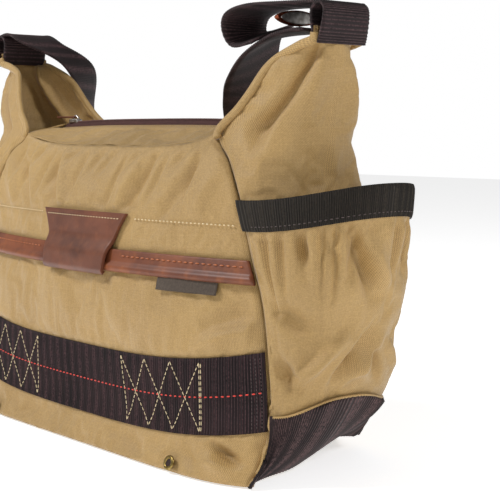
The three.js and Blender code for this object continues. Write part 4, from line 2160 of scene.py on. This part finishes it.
@dataclass
class Insert(Assembly):
    """The padded insert: five sewn boards and two dividers."""

    def board(self, node: str, body: Body) -> None:
        """Build one foam board whose cover swells between its seams.

        Args:
            node: the CAD node that it replaces.
            body: the body that it rides on.
        """
        low, high = (Vector(corner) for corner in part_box(node))
        size = high - low
        thin = min(range(3), key=lambda axis: size[axis])
        piece = added(bpy.ops.mesh.primitive_cube_add, size=1)
        piece.name = f"{node}_pad"
        piece.data.transform(Matrix.Translation((low + high) / 2) @ Matrix.Diagonal((*size, 1)))
        select_only(piece)
        bpy.ops.object.mode_set(mode="EDIT")
        bpy.ops.mesh.select_all(action="SELECT")
        bpy.ops.mesh.subdivide(number_cuts=24)
        bpy.ops.object.mode_set(mode="OBJECT")
        middle = (low + high) / 2
        axes = [axis for axis in range(3) if axis != thin]
        for vertex in piece.data.vertices:
            shares = [abs(vertex.co[axis] - middle[axis]) / (size[axis] / 2) for axis in axes]
            near = max(shares)
            pinch = 0.45 + 0.55 * math.sqrt(max(0.0, 1 - near ** 10))
            wave = 0.06 * math.sin(vertex.co[axes[0]] / (22 * MM)) * math.sin(
                vertex.co[axes[1]] / (19 * MM))
            offset = vertex.co[thin] - middle[thin]
            vertex.co[thin] = middle[thin] + offset * (pinch - abs(wave))
        soft = piece.modifiers.new("soft", "SUBSURF")
        soft.levels = soft.render_levels = 1
        apply_modifiers(piece)
        piece.data.shade_smooth()
        self.keep(piece, LINING, body, Slot.PADDING, node)

    def build(self) -> list[bpy.types.Object]:
        """Build the insert and return the pieces.

        Returns:
            The pieces.
        """
        for node in ("insert_floor", "insert_front", "insert_back", "insert_right", "insert_left"):
            self.board(node, Body.BAG)
        self.board("divider_right", Body.DIVIDER_RIGHT)
        self.board("divider_left", Body.DIVIDER_LEFT)
        return self.made


# ---------------------------------------------------------------- studio


@dataclass(frozen=True)
class Studio:
    """The camera, a pale floor and soft lights."""

    camera_place: Place = (0.7395, -0.5567, 0.2240)
    turn: float = 48.7
    down: float = 5.57
    lens: float = 88.6

    def camera(self) -> None:
        """Set the camera at the bag's front right."""
        data = bpy.data.cameras.new("camera")
        data.lens = self.lens
        data.sensor_width = 36
        data.clip_start = 0.01
        camera = bpy.data.objects.new("camera", data)
        bpy.context.collection.objects.link(camera)
        camera.location = self.camera_place
        turn, down = math.radians(self.turn), math.radians(self.down)
        look = Vector((-math.sin(turn) * math.cos(down), math.cos(turn) * math.cos(down),
                       -math.sin(down)))
        camera.rotation_euler = look.to_track_quat("-Z", "Y").to_euler()
        bpy.context.scene.camera = camera

    @staticmethod
    def light(name: str, place: Place, size: float, power: float) -> None:
        """Hang a square soft light that points at the bag.

        Args:
            name: the lamp's name.
            place: where it hangs, in metres.
            size: its width in metres.
            power: in watts.
        """
        data = bpy.data.lights.new(name, "AREA")
        data.size = size
        data.energy = power
        lamp = bpy.data.objects.new(name, data)
        bpy.context.collection.objects.link(lamp)
        lamp.location = place
        aim = Vector((0.05, 0, 0.14)) - Vector(place)
        lamp.rotation_euler = aim.to_track_quat("-Z", "Y").to_euler()

    def floor(self) -> None:
        """Lay the pale floor and set the pale surroundings."""
        bpy.ops.object.select_all(action="DESELECT")
        bpy.ops.mesh.primitive_plane_add(size=8, location=(0, 0, 0))
        plane = bpy.context.active_object
        plane.name = "studio_floor"
        graph = Graph("studio_floor")
        graph.shader.inputs["Base Color"].default_value = (0.95, 0.95, 0.95, 1)
        graph.shader.inputs["Emission Color"].default_value = (1, 1, 1, 1)
        graph.shader.inputs["Emission Strength"].default_value = 0.6
        graph.shader.inputs["Roughness"].default_value = 0.8
        plane.data.materials.append(graph.material)
        world = bpy.data.worlds.new("studio")
        bpy.context.scene.world = world
        world.use_nodes = True
        nodes, links = world.node_tree.nodes, world.node_tree.links
        soft = nodes["Background"]
        soft.inputs[0].default_value = (1, 1, 1, 1)
        soft.inputs[1].default_value = 0.26
        plain = nodes.new("ShaderNodeBackground")
        plain.inputs[0].default_value = (1, 1, 1, 1)
        plain.inputs[1].default_value = 1.0
        mixer = nodes.new("ShaderNodeMixShader")
        links.new(nodes.new("ShaderNodeLightPath").outputs["Is Camera Ray"], mixer.inputs[0])
        links.new(soft.outputs[0], mixer.inputs[1])
        links.new(plain.outputs[0], mixer.inputs[2])
        links.new(mixer.outputs[0], nodes["World Output"].inputs[0])

    def build(self) -> None:
        """Set up the whole studio."""
        self.camera()
        self.floor()
        self.light("key", (-0.6, -1.1, 1.5), 0.4, 22)
        self.light("side", (1.7, 0.4, 1.2), 0.4, 12)
        self.light("fill", (1.1, -1.4, 0.5), 1.0, 2.4)


def main() -> None:
    """Build the studio and every sub-assembly."""
    logging.basicConfig(level=logging.INFO, format="%(message)s")
    bpy.context.scene.view_settings.view_transform = "Standard"
    Studio().build()
    for assembly in (Sling(), Shell(), EndPockets(), FrontTrim(), ZipTop(), Insert()):
        pieces = assembly.build()
        for piece in pieces:
            LOG.info("%s: %s, %d faces", type(assembly).__name__, piece.name,
                     len(piece.data.polygons))


if __name__ == "__main__":
    main()
